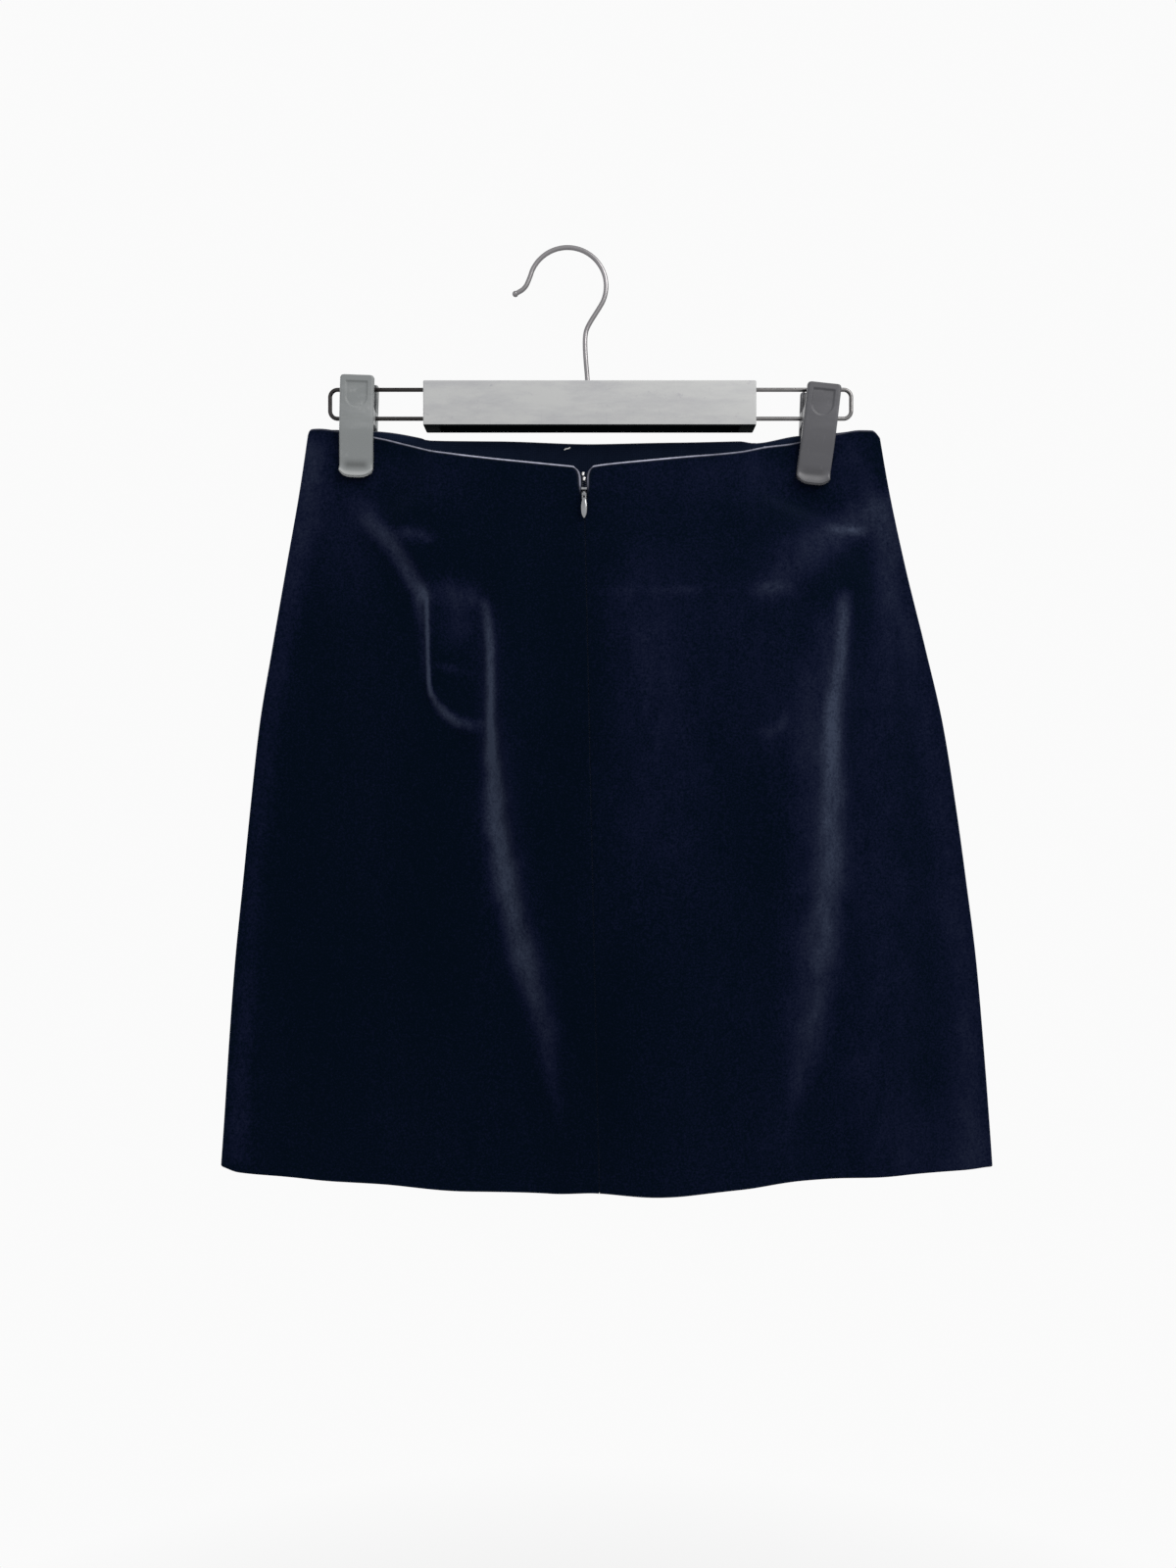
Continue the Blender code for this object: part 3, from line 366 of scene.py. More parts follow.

# Where the velvet is painted lighter, as painted sheen: streaks along the folds, glows at the edges and a
# lighter right half. The same rows, with a strength for a height.
BACK_PAINTED_SHEEN = {
    "left streak, upper": (
        (-54.5, -230, 3, 0), (-51.5, -242, 2.8, 0.5), (-49.6, -262, 2.5, 0.75), (-49.2, -300, 2.5, 0.9),
        (-49.2, -322, 3, 0.85), (-48.2, -340, 4, 0),
    ),
    "left streak": (
        (-49.5, -312, 4, 0), (-48, -336, 4.2, 0.8), (-46.2, -365, 5, 0.95), (-43.5, -396, 5.5, 0.95),
        (-36.5, -426, 6, 0.9), (-30, -455, 7, 0.52), (-22.5, -482, 7, 0.32), (-14, -508, 6.5, 0.2),
        (-9.5, -538, 4.5, 0.12), (-4, -575, 3, 0),
    ),
    "left streak, glow": (
        (-50, -240, 8, 0.06), (-49, -300, 8, 0.1), (-45, -365, 11, 0.16), (-33, -430, 12, 0.14),
        (-18, -490, 12, 0.09), (-3, -560, 10, 0),
    ),
    "left dart": (
        (-93, -222, 2.4, 0.25), (-91, -230, 1.4, 1), (-90.2, -255, 1.1, 1.25), (-89.2, -284, 1.15, 1.35),
        (-88, -291, 1.6, 1), (-84, -298, 2.3, 0.55), (-78, -304.5, 2.8, 0.7), (-71, -309.5, 3, 0.5),
        (-62, -311, 3.5, 0.25), (-52, -311, 4, 0.1),
    ),
    "left of the dart": ((-95, -230, 5, 0.3), (-92.5, -250, 4, 0.15), (-92, -280, 3, 0.08)),
    "left dent, over it": (
        (-90, -222, 6, 0.06), (-76, -226, 8, 0.1), (-62, -228, 7, 0.13), (-54, -234, 4, 0.28),
    ),
    "left dent": ((-74, -232, 12, 0.13), (-70, -250, 13, 0.12), (-66, -266, 12, 0.03)),
    "left dent, across": ((-86, -272, 2.2, 0.06), (-76, -275, 2.2, 0.16), (-62, -277, 2.4, 0.02)),
    "left drag": (
        (-142, -158, 7, 0), (-134, -168, 7, 0.12), (-127, -181, 5.5, 0.32), (-118, -188.5, 5, 0.52),
        (-108, -203, 4.8, 0.42), (-99, -220, 4.6, 0.54), (-93, -228, 3.5, 0.55),
    ),
    "left drag, over it": (
        (-116, -187, 4, 0), (-103, -187, 4.5, 0.25), (-90, -189.5, 4, 0.2), (-82, -190, 4, 0),
    ),
    "left of the clip": (
        (-160, -130, 20, 0.09), (-152, -165, 26, 0.09), (-150, -205, 28, 0.06), (-150, -250, 30, 0),
    ),
    "left edge": (
        (-168, -134, 10, 0.22), (-172, -170, 10, 0.16), (-182, -230, 8, 0.12), (-196, -320, 8, 0.07),
        (-206, -420, 7, 0.06), (-216, -590, 7, 0.1),
    ),
    "right streak, upper": (
        (178, -222, 5, 0), (176.6, -234, 4.5, 0.45), (174.5, -262, 4, 0.75), (171, -285, 4.5, 0.6),
        (168, -302, 6, 0),
    ),
    "right streak": (
        (170, -285, 6, 0), (167.6, -303, 6, 0.7), (167.8, -335, 6.5, 0.62), (168, -375, 8, 0.56),
        (166.4, -411, 8.5, 0.48), (163.5, -440, 9, 0.38), (160.4, -472, 9, 0.27), (155.5, -502, 8.5, 0.21),
        (151, -526, 8, 0.14), (144, -550, 6, 0.08), (136, -588, 5, 0),
    ),
    "right streak, core": (
        (168, -290, 3, 0), (166.8, -302, 3, 0.3), (167.2, -335, 3, 0.28), (167.4, -352, 3, 0),
    ),
    "right streak, glow": (
        (170, -250, 14, 0.12), (160, -310, 16, 0.16), (160, -400, 20, 0.12), (152, -480, 20, 0.1),
        (140, -575, 16, 0),
    ),
    "right drag": (
        (198, -170, 9, 0.2), (186, -180, 10, 0.26), (166, -190, 13, 0.26), (146, -206, 14, 0.2),
        (128, -224, 12, 0.1),
    ),
    "right drag, bright": (
        (162, -182.3, 3, 0), (172, -183, 2.6, 0.45), (184, -184.2, 2.3, 0.8), (191, -184.6, 2.3, 0.5),
        (196, -184.6, 2.4, 0),
    ),
    "right patch": (
        (118, -226, 4, 0.06), (126, -224.5, 4.5, 0.25), (140, -223, 4.5, 0.16), (146, -222, 4, 0),
    ),
    "right dart's end": (
        (119, -316, 3, 0.03), (128, -316, 3, 0.16), (135, -311, 3, 0.16), (139, -303, 3, 0.02),
    ),
    "zip pucker": ((17, -226.5, 2.4, 0.04), (50, -227, 2.4, 0.05), (80, -226, 2.6, 0.14), (90, -226, 2.4, 0)),
    "centre right": (
        (46, -232, 24, 0.09), (52, -280, 26, 0.11), (58, -330, 30, 0.09), (52, -400, 34, 0.06),
        (44, -470, 34, 0),
    ),
    "right half": (
        (40, -170, 50, 0.03), (90, -210, 60, 0.05), (120, -262, 50, 0.08), (140, -310, 34, 0.08),
        (150, -350, 24, 0.03),
    ),
    "right half, low": ((90, -400, 60, 0.01), (110, -500, 60, 0.03), (120, -600, 60, 0.03)),
    "waist, left": ((-120, -146, 16, 0.05), (-84, -152, 20, 0.06), (-52, -158, 16, 0)),
    "waist, right": (
        (24, -152, 14, 0.03), (70, -150, 18, 0.04), (118, -148, 18, 0.09), (140, -150, 14, 0.05),
    ),
    "along the hem": ((-210, -584, 34, 0.01), (20, -590, 34, 0.01), (256, -584, 34, 0.02)),
    "right shoulder": ((176, -128, 16, 0.12), (188, -152, 16, 0.13), (198, -176, 14, 0.1)),
    "right edge": (
        (206, -170, 10, 0.2), (214, -220, 10, 0.16), (228, -280, 10, 0.12), (244, -370, 12, 0.1),
        (258, -480, 14, 0.12), (264, -595, 16, 0.16),
    ),
    "right of the streak": (
        (206, -186, 9, 0.12), (206, -225, 11, 0.12), (205, -256, 15, 0.12), (200, -300, 20, 0.09),
        (202, -400, 26, 0.1), (200, -560, 30, 0.07), (226, -600, 30, 0.09),
    ),
}
FRONT_PAINTED_SHEEN = {
    "left fold": ((-78, -220, 9, 0), (-68, -320, 11, 0.9), (-74, -420, 14, 0.7), (-86, -540, 16, 0)),
    "right fold": ((118, -220, 9, 0), (126, -330, 12, 0.9), (138, -450, 14, 0.7), (148, -560, 16, 0)),
    "left drag": ((-132, -170, 9, 0), (-116, -196, 10, 0.6), (-90, -230, 9, 0)),
    "right drag": ((176, -176, 9, 0), (156, -200, 10, 0.6), (122, -236, 9, 0)),
}

# Waves: height, length along x, length along z, phase.
CLOTH_WAVES = ((0.42, 31, 83, 1), (0.34, 19, -57, 2))
CLOTH_RIPPLES = ((0.16, 11, 26, 3),)
CLOTH_RIPPLES_SWELL = 37.0  # the ripples come and go over this length
CLOTH_PHASE = {"back": 0.7, "front": 2.9}
PAINTED_SHEEN_WANDER = ((0.75, 11, 7.3, 0), (0.35, -5.7, 3.9, 1.1))
PAINTED_SHEEN_UNEVEN = ((0.09, 17, 11.3, 0.6), (0.05, -6.1, 4.7, 0))
PAINTED_SHEEN_WANDERS_BELOW = -322.0
PAINTED_SHEEN_WANDER_FADE = 50.0

# Painted rim highlight: where the pile shows end on, its sheen is painted into the colour, most on the waist's
# edge
# between the clips: a row is how much more, the middle's x, the half span and the fade.
RIM_MARK = 0.7  # how far down from the edge
RIM_LEAST = 0.15
RIM_SPANS = ((0.4, 6, 150, 20), (0.45, 0, 96, 30))
SLIT_EDGE_STRENGTH = (0.55, 0.3)  # left, right
SLIT_EDGE_WIDTH = 0.8
SLIT_EDGE_LOW = -163.0
SLIT_EDGE_FADE = 9.0

CAMERA_PLACE = (12.8, -768.0, -348.8)
CAMERA_LENS = 27.0
STAGE_RADIUS = 2600.0
STAGE_FLOOR = -3200.0
STAGE_CORNER = 900.0
STAGE_TOP = 3000.0
STAGE_SIDES = 96
# How strongly the stage glows: from and to in metres along y or up z, and the strength at each.
STAGE_BEHIND = (0.6, 1.9, 0.62, 0.96)
STAGE_BEFORE = (-2.4, -0.6, 0.84, 0.62)
STAGE_LOW = (-3.15, -2.3, 0.8, 1.0)
WORLD_STRENGTH = 0.96


# ------------------------------------------------------------------ curves and the skirt's form
def curve(table, column, at):
    """A monotone cubic through one column of a table, read at those values of the first column."""
    rows = np.array(table, float)
    rows = rows[np.argsort(rows[:, 0])]
    x, y = rows[:, 0], rows[:, column]
    step = np.diff(x)
    rise = np.diff(y) / step
    slope = np.zeros(len(x))
    slope[0], slope[-1] = rise[0], rise[-1]
    same_way = rise[:-1] * rise[1:] > 0
    harmonic = 2 * rise[:-1] * rise[1:] / np.where(same_way, rise[:-1] + rise[1:], 1.0)
    slope[1:-1] = np.where(same_way, harmonic, 0.0)
    at = np.clip(np.asarray(at, float), x[0], x[-1])
    i = np.clip(np.searchsorted(x, at) - 1, 0, len(x) - 2)
    t = (at - x[i]) / step[i]
    return (
        y[i] * (1 + 2 * t) * (1 - t) ** 2
        + y[i + 1] * t**2 * (3 - 2 * t)
        + step[i] * (slope[i] * t * (1 - t) ** 2 - slope[i + 1] * t**2 * (1 - t))
    )


def section(column, z):
    return curve(SECTIONS, SECTION_COLUMNS.index(column), z)


def fold(rows, column, z):
    return curve(rows, FOLD_COLUMNS.index(column), z)


def smooth(t):
    t = np.clip(t, 0.0, 1.0)
    return t * t * (3 - 2 * t)


def lift(folds, x, z, way):
    """0 at the side seam and 1 in the middle: the sum of a side's folds."""
    total, shares = 0.0, 0.0
    for name, rows in folds.items():
        middle, width = fold(rows, "x", z), fold(rows, "width", z)
        share = 1.0 - shares if name == "crown" else fold(rows, "share", z)
        total = total + share * smooth(way * (x - middle) / width + 0.5)
        shares = shares + share
    return total


def from_edge(x, z):
    return np.minimum(x - section("left", z), section("right", z) - x)


def depth(side, x, z):
    """How far the skirt's outer face lies from the hanging plane, without its creases."""
    left_folds, right_folds = {
        "back": (BACK_LEFT_FOLDS, BACK_RIGHT_FOLDS),
        "front": (FRONT_LEFT_FOLDS, FRONT_RIGHT_FOLDS),
    }[side]
    roll = np.sqrt(1 - (1 - np.clip(from_edge(x, z) / FOLD_HALF, 0, 1)) ** 2)
    risen = lift(left_folds, x, z, 1) + lift(right_folds, x, z, -1) - 1
    return np.maximum(FOLD_HALF * roll + section(side, z) * np.maximum(risen, 0), SEAM_GAP / 2)


def strokes(lines, x, z):
    """The sum of soft lines at those points, each with its own half width and height along its way."""
    total = np.zeros(np.broadcast(x, z).shape)
    for rows in lines.values():
        rows = np.array(rows, float)
        nearest = np.full(total.shape, np.inf)
        height = np.zeros(total.shape)
        for a, b in zip(rows, rows[1:]):
            way = b[:2] - a[:2]
            t = np.clip(((x - a[0]) * way[0] + (z - a[1]) * way[1]) / (way @ way), 0, 1)
            here = a + t[..., None] * (b - a)
            off = ((x - here[..., 0]) ** 2 + (z - here[..., 1]) ** 2) / here[..., 2] ** 2
            closer = off < nearest
            height = np.where(closer, here[..., 3] * np.exp(-off), height)
            nearest = np.where(closer, off, nearest)
        total += height
    return total


def waves(rows, x, z, times=1.0):
    """The sum of a table's waves at those points, their phases multiplied."""
    return sum(height * np.sin(x / across + z / down + phase * times) for height, across, down, phase in rows)


def unevenness(side, x, z):
    """The slight waviness of hanging cloth."""
    phase = CLOTH_PHASE[side]
    ripples = waves(CLOTH_RIPPLES, x, z, phase) * np.sin(z / CLOTH_RIPPLES_SWELL + phase)
    return waves(CLOTH_WAVES, x, z, phase) + ripples


def under_clips(x, z):
    """1 where a clip presses the cloth flat, 0 away from it."""
    pressed = 0.0
    for _, clip_x, rise, *_ in CLIPS:
        low = WIRE_LOW_Z + rise - CLIP_LENGTH
        beside = smooth((CLIP_WIDTH / 2 + CLIP_PRESS_REACH - np.abs(x - clip_x)) / CLIP_PRESS_FADE)
        pressed = np.maximum(pressed, beside * smooth((z - low + CLIP_PRESS_REACH) / CLIP_PRESS_FADE))
    return pressed


def relief(side, x, z):
    """The creases and the waviness, faded out at the side seams and under the clips."""
    lines = {"back": BACK_CREASES, "front": FRONT_CREASES}[side]
    free = smooth((from_edge(x, z) - FOLD_HALF) / CREASE_SIDE_FADE) * (1 - under_clips(x, z))
    return free * (strokes(lines, x, z) + unevenness(side, x, z))


def centre_back_x(z):
    share = (z - CB_TOP[1]) / (CB_HEM[1] - CB_TOP[1])
    return CB_TOP[0] + share * (CB_HEM[0] - CB_TOP[0])


# ------------------------------------------------------------------ meshes
def helper(name, data):
    made = bpy.data.objects.new(name, data)
    bpy.context.scene.collection.objects.link(made)
    return made


def piece(name, mesh, slot, *materials, body=BODY, node=None, place=None, tilt=0.0):
    """An object that rides on a body, stands for a node where one is named, and has its materials."""
    made = helper(name, mesh)
    if place is not None:
        made.location = Vector(place) * MM
        made.rotation_euler = (0, math.radians(tilt), 0)
    if not mesh.materials:
        for material in materials:
            mesh.materials.append(material)
    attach(made, body)
    if node:
        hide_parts(node)
    return made


def mesh_from(name, points, faces, round_angle=None, inner_faces=()):
    """A mesh from points in mm, its faces turned outwards. inner_faces take the second material."""
    mesh = bpy.data.meshes.new(name)
    mesh.from_pydata((np.asarray(points, float) * MM).tolist(), [], faces)
    if len(inner_faces):
        index = np.zeros(len(faces), np.int32)
        index[list(inner_faces)] = 1
        mesh.polygons.foreach_set("material_index", index)
    work = bmesh.new()
    work.from_mesh(mesh)
    bmesh.ops.recalc_face_normals(work, faces=work.faces)
    work.to_mesh(mesh)
    work.free()
    mesh.shade_smooth()
    if round_angle:
        mesh.set_sharp_from_angle(angle=math.radians(round_angle))
    return mesh


def evaluated(made):
    """The object's mesh with its modifiers applied."""
    bpy.context.view_layer.update()
    return bpy.data.meshes.new_from_object(made.evaluated_get(bpy.context.evaluated_depsgraph_get()))


def unit(vectors):
    length = np.linalg.norm(vectors, axis=-1, keepdims=True)
    return vectors / np.where(length > 1e-9, length, 1.0)


def quads(grid, closed=False):
    """Faces between the neighbouring rows of a grid of point numbers, and round each row if it is closed."""
    near, beside = (grid, np.roll(grid, -1, axis=1)) if closed else (grid[:, :-1], grid[:, 1:])
    return np.stack([near[:-1], beside[:-1], beside[1:], near[1:]], axis=-1).reshape(-1, 4).tolist()


def shell(name, outer, inner, round_ways, marks=None):
    """A closed sheet between two grids of points of the same shape, with round rims on the ways named.

    marks are values on the outer grid, kept as attributes that the materials read.
    """
    outer, inner = outer.copy(), inner.copy()
    out = np.zeros_like(outer)
    if "top" in round_ways:
        out[0] += unit(outer[0] - outer[1])
    if "low" in round_ways:
        out[-1] += unit(outer[-1] - outer[-2])
    if "first" in round_ways:
        out[:, 0] += unit(outer[:, 0] - outer[:, 1])
    if "last" in round_ways:
        out[:, -1] += unit(outer[:, -1] - outer[:, -2])
    out = unit(out)
    radius = np.linalg.norm(outer - inner, axis=-1, keepdims=True) / 2
    outer -= out * radius
    inner -= out * radius
    rows, columns = outer.shape[:2]
    count = rows * columns
    grid = np.arange(count).reshape(rows, columns)
    faces = quads(grid) + quads(grid + count)
    inner_faces = range(len(faces) // 2, len(faces))
    rim = [(0, k) for k in range(columns - 1)] + [(k, columns - 1) for k in range(rows - 1)]
    rim += [(rows - 1, k) for k in range(columns - 1, 0, -1)] + [(k, 0) for k in range(rows - 1, 0, -1)]
    at = tuple(np.array(rim).T)
    middle, half = (outer[at] + inner[at]) / 2, (outer[at] - inner[at]) / 2
    arcs = []
    for turn in np.radians(np.linspace(0, 180, RIM_STEPS + 2)[1:-1]):
        arcs.append(middle + half * math.cos(turn) + out[at] * radius[at] * math.sin(turn))
    first = 2 * count
    lines = [first + k * len(rim) + np.arange(len(rim)) for k in range(RIM_STEPS)]
    faces += quads(np.stack([grid[at], *lines, grid[at] + count]), closed=True)
    points = np.concatenate([outer.reshape(-1, 3), inner.reshape(-1, 3), *arcs])
    mesh = mesh_from(name, points, faces, inner_faces=inner_faces)
    for mark, values in (marks or {}).items():
        values = np.concatenate([values.reshape(-1)] * 2 + [values[at]] * RIM_STEPS)
        attribute = mesh.attributes.new(mark, "FLOAT", "POINT")
        attribute.data.foreach_set("value", values.astype(np.float32))
    return mesh


def tube_parts(path, radii, sides, reference, closed=False, first=0):
    """Points and faces of a round tube along a path that lies across the reference direction."""
    path = np.array(path, float)
    radii = np.broadcast_to(np.asarray(radii, float), len(path))
    if closed:
        along = np.roll(path, -1, axis=0) - np.roll(path, 1, axis=0)
    else:
        along = np.gradient(path, axis=0)
    reference = np.array(reference, float)
    across = unit(np.cross(unit(along), reference))
    turns = np.arange(sides) * 2 * math.pi / sides
    ring = np.cos(turns)[None, :, None] * across[:, None] + np.sin(turns)[None, :, None] * reference
    points = (path[:, None] + radii[:, None, None] * ring).reshape(-1, 3)
    grid = first + np.arange(len(points)).reshape(-1, sides)
    if closed:
        return points, quads(np.concatenate([grid, grid[:1]]), closed=True)
    return points, quads(grid, closed=True) + [grid[0].tolist(), grid[-1, ::-1].tolist()]


def tube(name, path, radii, sides, reference=(0, 1, 0)):
    points, faces = tube_parts(path, radii, sides, reference)
    return mesh_from(name, points, faces, round_angle=50)


def in_plane(points):
    """(x, z) in the hanging plane as points."""
    return [(x, 0.0, z) for x, z in points]


def slab(outline, half, place, name="tool", round_angle=None):
    """An outline carried half each way across itself, its points put in place."""
    points = [place(a, b, off) for off in (-half, half) for a, b in outline]
    count = len(outline)
    faces = [list(range(count)), list(range(2 * count - 1, count - 1, -1))]
    faces += [[k, (k + 1) % count, (k + 1) % count + count, k + count] for k in range(count)]
    return mesh_from(name, points, faces, round_angle)


def box_mesh(name, low, high):
    points = [(x, y, z) for x in (low[0], high[0]) for y in (low[1], high[1]) for z in (low[2], high[2])]
    faces = [(0, 1, 3, 2), (4, 6, 7, 5), (0, 4, 5, 1), (2, 3, 7, 6), (0, 2, 6, 4), (1, 5, 7, 3)]
    return mesh_from(name, points, faces, round_angle=30)


def ring_outline(radius, steps):
    turns = [2 * math.pi * k / steps for k in range(steps)]
    return [(radius * math.cos(a), radius * math.sin(a)) for a in turns]


def boolean(target, mesh, operation):
    """Joins or cuts with a mesh, at once."""
    tool = helper("tool", mesh)
    work = target.modifiers.new("work", "BOOLEAN")
    work.operation = operation
    work.object = tool
    changed = evaluated(target)
    target.modifiers.remove(work)
    target.data = changed
    bpy.data.objects.remove(tool)


def bevelled(target, width, segments=3, angle=40):
    bevel = target.modifiers.new("edges", "BEVEL")
    bevel.width = width * MM
    bevel.segments = segments
    bevel.limit_method = "ANGLE"
    bevel.angle_limit = math.radians(angle)
    target.data = evaluated(target)
    target.modifiers.clear()


def taken(made):
    """The mesh of an object that was worked on, with its sharp edges marked. The object goes."""
    mesh = made.data.copy()
    bpy.data.objects.remove(made)
    mesh.materials.clear()
    mesh.shade_smooth()
    mesh.set_sharp_from_angle(angle=math.radians(35))
    return mesh


# ------------------------------------------------------------------ materials
# The scales of noise and waves are for metres, as the pieces' own coordinates are.
VELVET_DEEP = (0.0004, 0.0026, 0.0068)
VELVET_MID = (0.0030, 0.0048, 0.0166)
VELVET_MID_AT = 0.10
# painted sheen: the colour of the brightest painted streaks
VELVET_PAINTED_SHEEN = (0.031, 0.040, 0.068)
# painted highlight: the colour of the painted rims
VELVET_PAINTED_RIM = (0.42, 0.43, 0.53)
VELVET_SHEEN = (0.09, 0.125, 0.22)
METAL_EDGE = (0.16, 0.16, 0.17)
# painted shade: the crease's colour as a share of the plastic's
CREASE_SHADE_DARK = 0.42


def shader(name, colour, roughness, metallic=0.0, specular=0.5):
    material = bpy.data.materials.new(name)
    material.use_nodes = True
    tree = material.node_tree
    surface = tree.nodes["Principled BSDF"]
    surface.inputs["Base Color"].default_value = (*colour, 1.0)
    surface.inputs["Roughness"].default_value = roughness
    surface.inputs["Metallic"].default_value = metallic
    surface.inputs["Specular IOR Level"].default_value = specular
    material.diffuse_color = (*colour, 1.0)
    return material, tree, surface


def add(tree, kind, inputs=(), **settings):
    node = tree.nodes.new(kind)
    for name, value in settings.items():
        setattr(node, name, value)
    for key, value in dict(inputs).items():
        if isinstance(value, bpy.types.NodeSocket):
            tree.links.new(value, node.inputs[key])
        else:
            node.inputs[key].default_value = value
    return node


def coordinates(tree, stretch=(1, 1, 1)):
    place = add(tree, "ShaderNodeTexCoord").outputs["Object"]
    return add(tree, "ShaderNodeMapping", {"Vector": place, "Scale": stretch}).outputs["Vector"]


def noise(tree, place, scale, detail=3.0, roughness=0.5):
    inputs = {"Vector": place, "Scale": scale, "Detail": detail, "Roughness": roughness}
    return add(tree, "ShaderNodeTexNoise", inputs).outputs["Fac"]


def ranged(tree, value, low, high, to_low=0.0, to_high=1.0):
    inputs = {"Value": value, "From Min": low, "From Max": high, "To Min": to_low, "To Max": to_high}
    return add(tree, "ShaderNodeMapRange", inputs).outputs["Result"]


def maths(tree, operation, a, b, clamp=False):
    return add(tree, "ShaderNodeMath", {0: a, 1: b}, operation=operation, use_clamp=clamp).outputs[0]


def mixed(tree, share, first, second):
    """A blend of two colours, each a socket or three numbers. The sockets 6, 7 and 2 are the colour ones."""
    ends = {6: first, 7: second}
    ends = {key: end if isinstance(end, bpy.types.NodeSocket) else (*end, 1.0) for key, end in ends.items()}
    return add(tree, "ShaderNodeMix", {0: share, **ends}, data_type="RGBA").outputs[2]


def mark(tree, name):
    return add(tree, "ShaderNodeAttribute", attribute_name=name).outputs["Fac"]


def bump(tree, surface, height, strength, distance, under=None):
    inputs = {"Height": height, "Strength": strength, "Distance": distance}
    if under is not None:
        inputs["Normal"] = under
    node = add(tree, "ShaderNodeBump", inputs)
    tree.links.new(node.outputs["Normal"], surface.inputs["Normal"])
    return node.outputs["Normal"]


def velvet(name):
    """Short dark pile: matt when seen down its fibres, with a cool sheen where it turns away. Its colour also
    has painted sheen streaks along the folds and a painted highlight on the waist's and the slit's edges.
    """
    material, tree, surface = shader(name, VELVET_DEEP, 0.95, specular=0.02)
    surface.inputs["Sheen Weight"].default_value = 1.0
    surface.inputs["Sheen Roughness"].default_value = 0.34
    surface.inputs["Sheen Tint"].default_value = (*VELVET_SHEEN, 1.0)
    place = coordinates(tree)
    hanging = coordinates(tree, (1.0, 1.0, 0.35))
    patches = ranged(tree, noise(tree, hanging, 14, 4, 0.6), 0.35, 0.72, -0.015, 0.025)
    grain = ranged(tree, noise(tree, place, 800, 4, 0.7), 0.3, 0.7, -0.10, 0.11)
    streaky = coordinates(tree, (1.0, 1.0, 0.45))
    ragged = ranged(tree, noise(tree, streaky, 90, 5, 0.7), 0.3, 0.7, 0.5, 1.4)
    tufts = ranged(tree, noise(tree, place, 560, 4, 0.75), 0.3, 0.7, 0.45, 1.45)
    # painted sheen: streaks of highlight along the folds, broken up by noise
    painted_streaks = maths(tree, "MULTIPLY", mark(tree, "painted_sheen"), maths(tree, "MULTIPLY", ragged, tufts))
    amount = maths(tree, "ADD", maths(tree, "ADD", painted_streaks, patches), grain, clamp=True)
    bluish = mixed(tree, ranged(tree, amount, 0.0, VELVET_MID_AT), VELVET_DEEP, VELVET_MID)
    colour = mixed(tree, ranged(tree, amount, VELVET_MID_AT, 1.0), bluish, VELVET_PAINTED_SHEEN)
    uneven = ranged(tree, noise(tree, place, 300, 2), 0.3, 0.7, 0.65, 1.0)
    # painted highlight on the waist's and the slit's edges
    rim = maths(tree, "MULTIPLY", mark(tree, "edge"), uneven)
    tree.links.new(mixed(tree, rim, colour, VELVET_PAINTED_RIM), surface.inputs["Base Color"])
    creased = bump(tree, surface, noise(tree, hanging, 60, 3), 0.25, 0.0012)
    bump(tree, surface, noise(tree, place, 1500, 3, 0.7), 0.35, 0.00035, creased)
    return material


def weave(name, dark, light, threads_per_mm, roughness=0.85):
    """Plain woven ground: two sets of fine ribs, across and along."""
    material, tree, surface = shader(name, dark, roughness, specular=0.06)
    place = coordinates(tree)
    scale = threads_per_mm * 1000 / 20 * math.pi
    ribs = []
    for direction in ("X", "Z"):
        inputs = {"Vector": place, "Scale": scale, "Distortion": 0.6, "Detail": 1.0}
        ribs.append(add(tree, "ShaderNodeTexWave", inputs, bands_direction=direction).outputs["Fac"])
    height = maths(tree, "MAXIMUM", ribs[0], ribs[1])
    patches = noise(tree, place, 90, 4, 0.6)
    share = maths(tree, "MULTIPLY", height, ranged(tree, patches, 0.3, 0.75, 0.35, 1.0), clamp=True)
    tree.links.new(mixed(tree, share, dark, light), surface.inputs["Base Color"])
    bump(tree, surface, height, 0.4, 0.00025)
    return material


def plastic(name, colour, worn, roughness, scuffs=0.5, specular=0.45):
    """Moulded plastic: fine pitted skin, faint flow streaks and a few dull scuffs. On a clip, marks also paint
    a highlight on the lip and shade in the crease above it.
    """
    material, tree, surface = shader(name, colour, roughness, specular=specular)
    place = coordinates(tree)
    streaked = coordinates(tree, (0.25, 1.0, 1.0))
    flow = ranged(tree, noise(tree, streaked, 60, 6, 0.68), 0.46, 0.70)
    scratch_place = coordinates(tree, (1.0, 1.0, 0.12))
    scratches = ranged(tree, noise(tree, scratch_place, 620, 2, 0.6), 0.66, 0.74)
    spots = ranged(tree, noise(tree, place, 130, 5, 0.7), 0.60, 0.70)
    wear = maths(tree, "MAXIMUM", maths(tree, "MULTIPLY", scratches, 0.5), spots)
    streaks, scuffed = maths(tree, "MULTIPLY", flow, 0.5), maths(tree, "MULTIPLY", wear, scuffs)
    # a clip's lip mark is a painted highlight; elsewhere this lightening is flow streaks and scuffs
    share = maths(tree, "MAXIMUM", maths(tree, "ADD", streaks, scuffed, clamp=True), mark(tree, "worn"))
    # painted shade: the clip's crease is painted darker
    grime = maths(tree, "MULTIPLY", mark(tree, "grime"), ranged(tree, flow, 0.0, 1.0, 1.0, 0.5))
    unshaded = mixed(tree, share, colour, worn)
    crease_shaded = mixed(tree, grime, unshaded, [CREASE_SHADE_DARK * c for c in colour])
    tree.links.new(crease_shaded, surface.inputs["Base Color"])
    rough = ranged(tree, wear, 0.0, 1.0, roughness, min(roughness + 0.16, 1.0))
    tree.links.new(rough, surface.inputs["Roughness"])
    pits = noise(tree, place, 1700, 2, 0.6)
    under = bump(tree, surface, pits, 0.10, 0.0002)
    bump(tree, surface, noise(tree, streaked, 160, 3), 0.06, 0.0005, under)
    return material


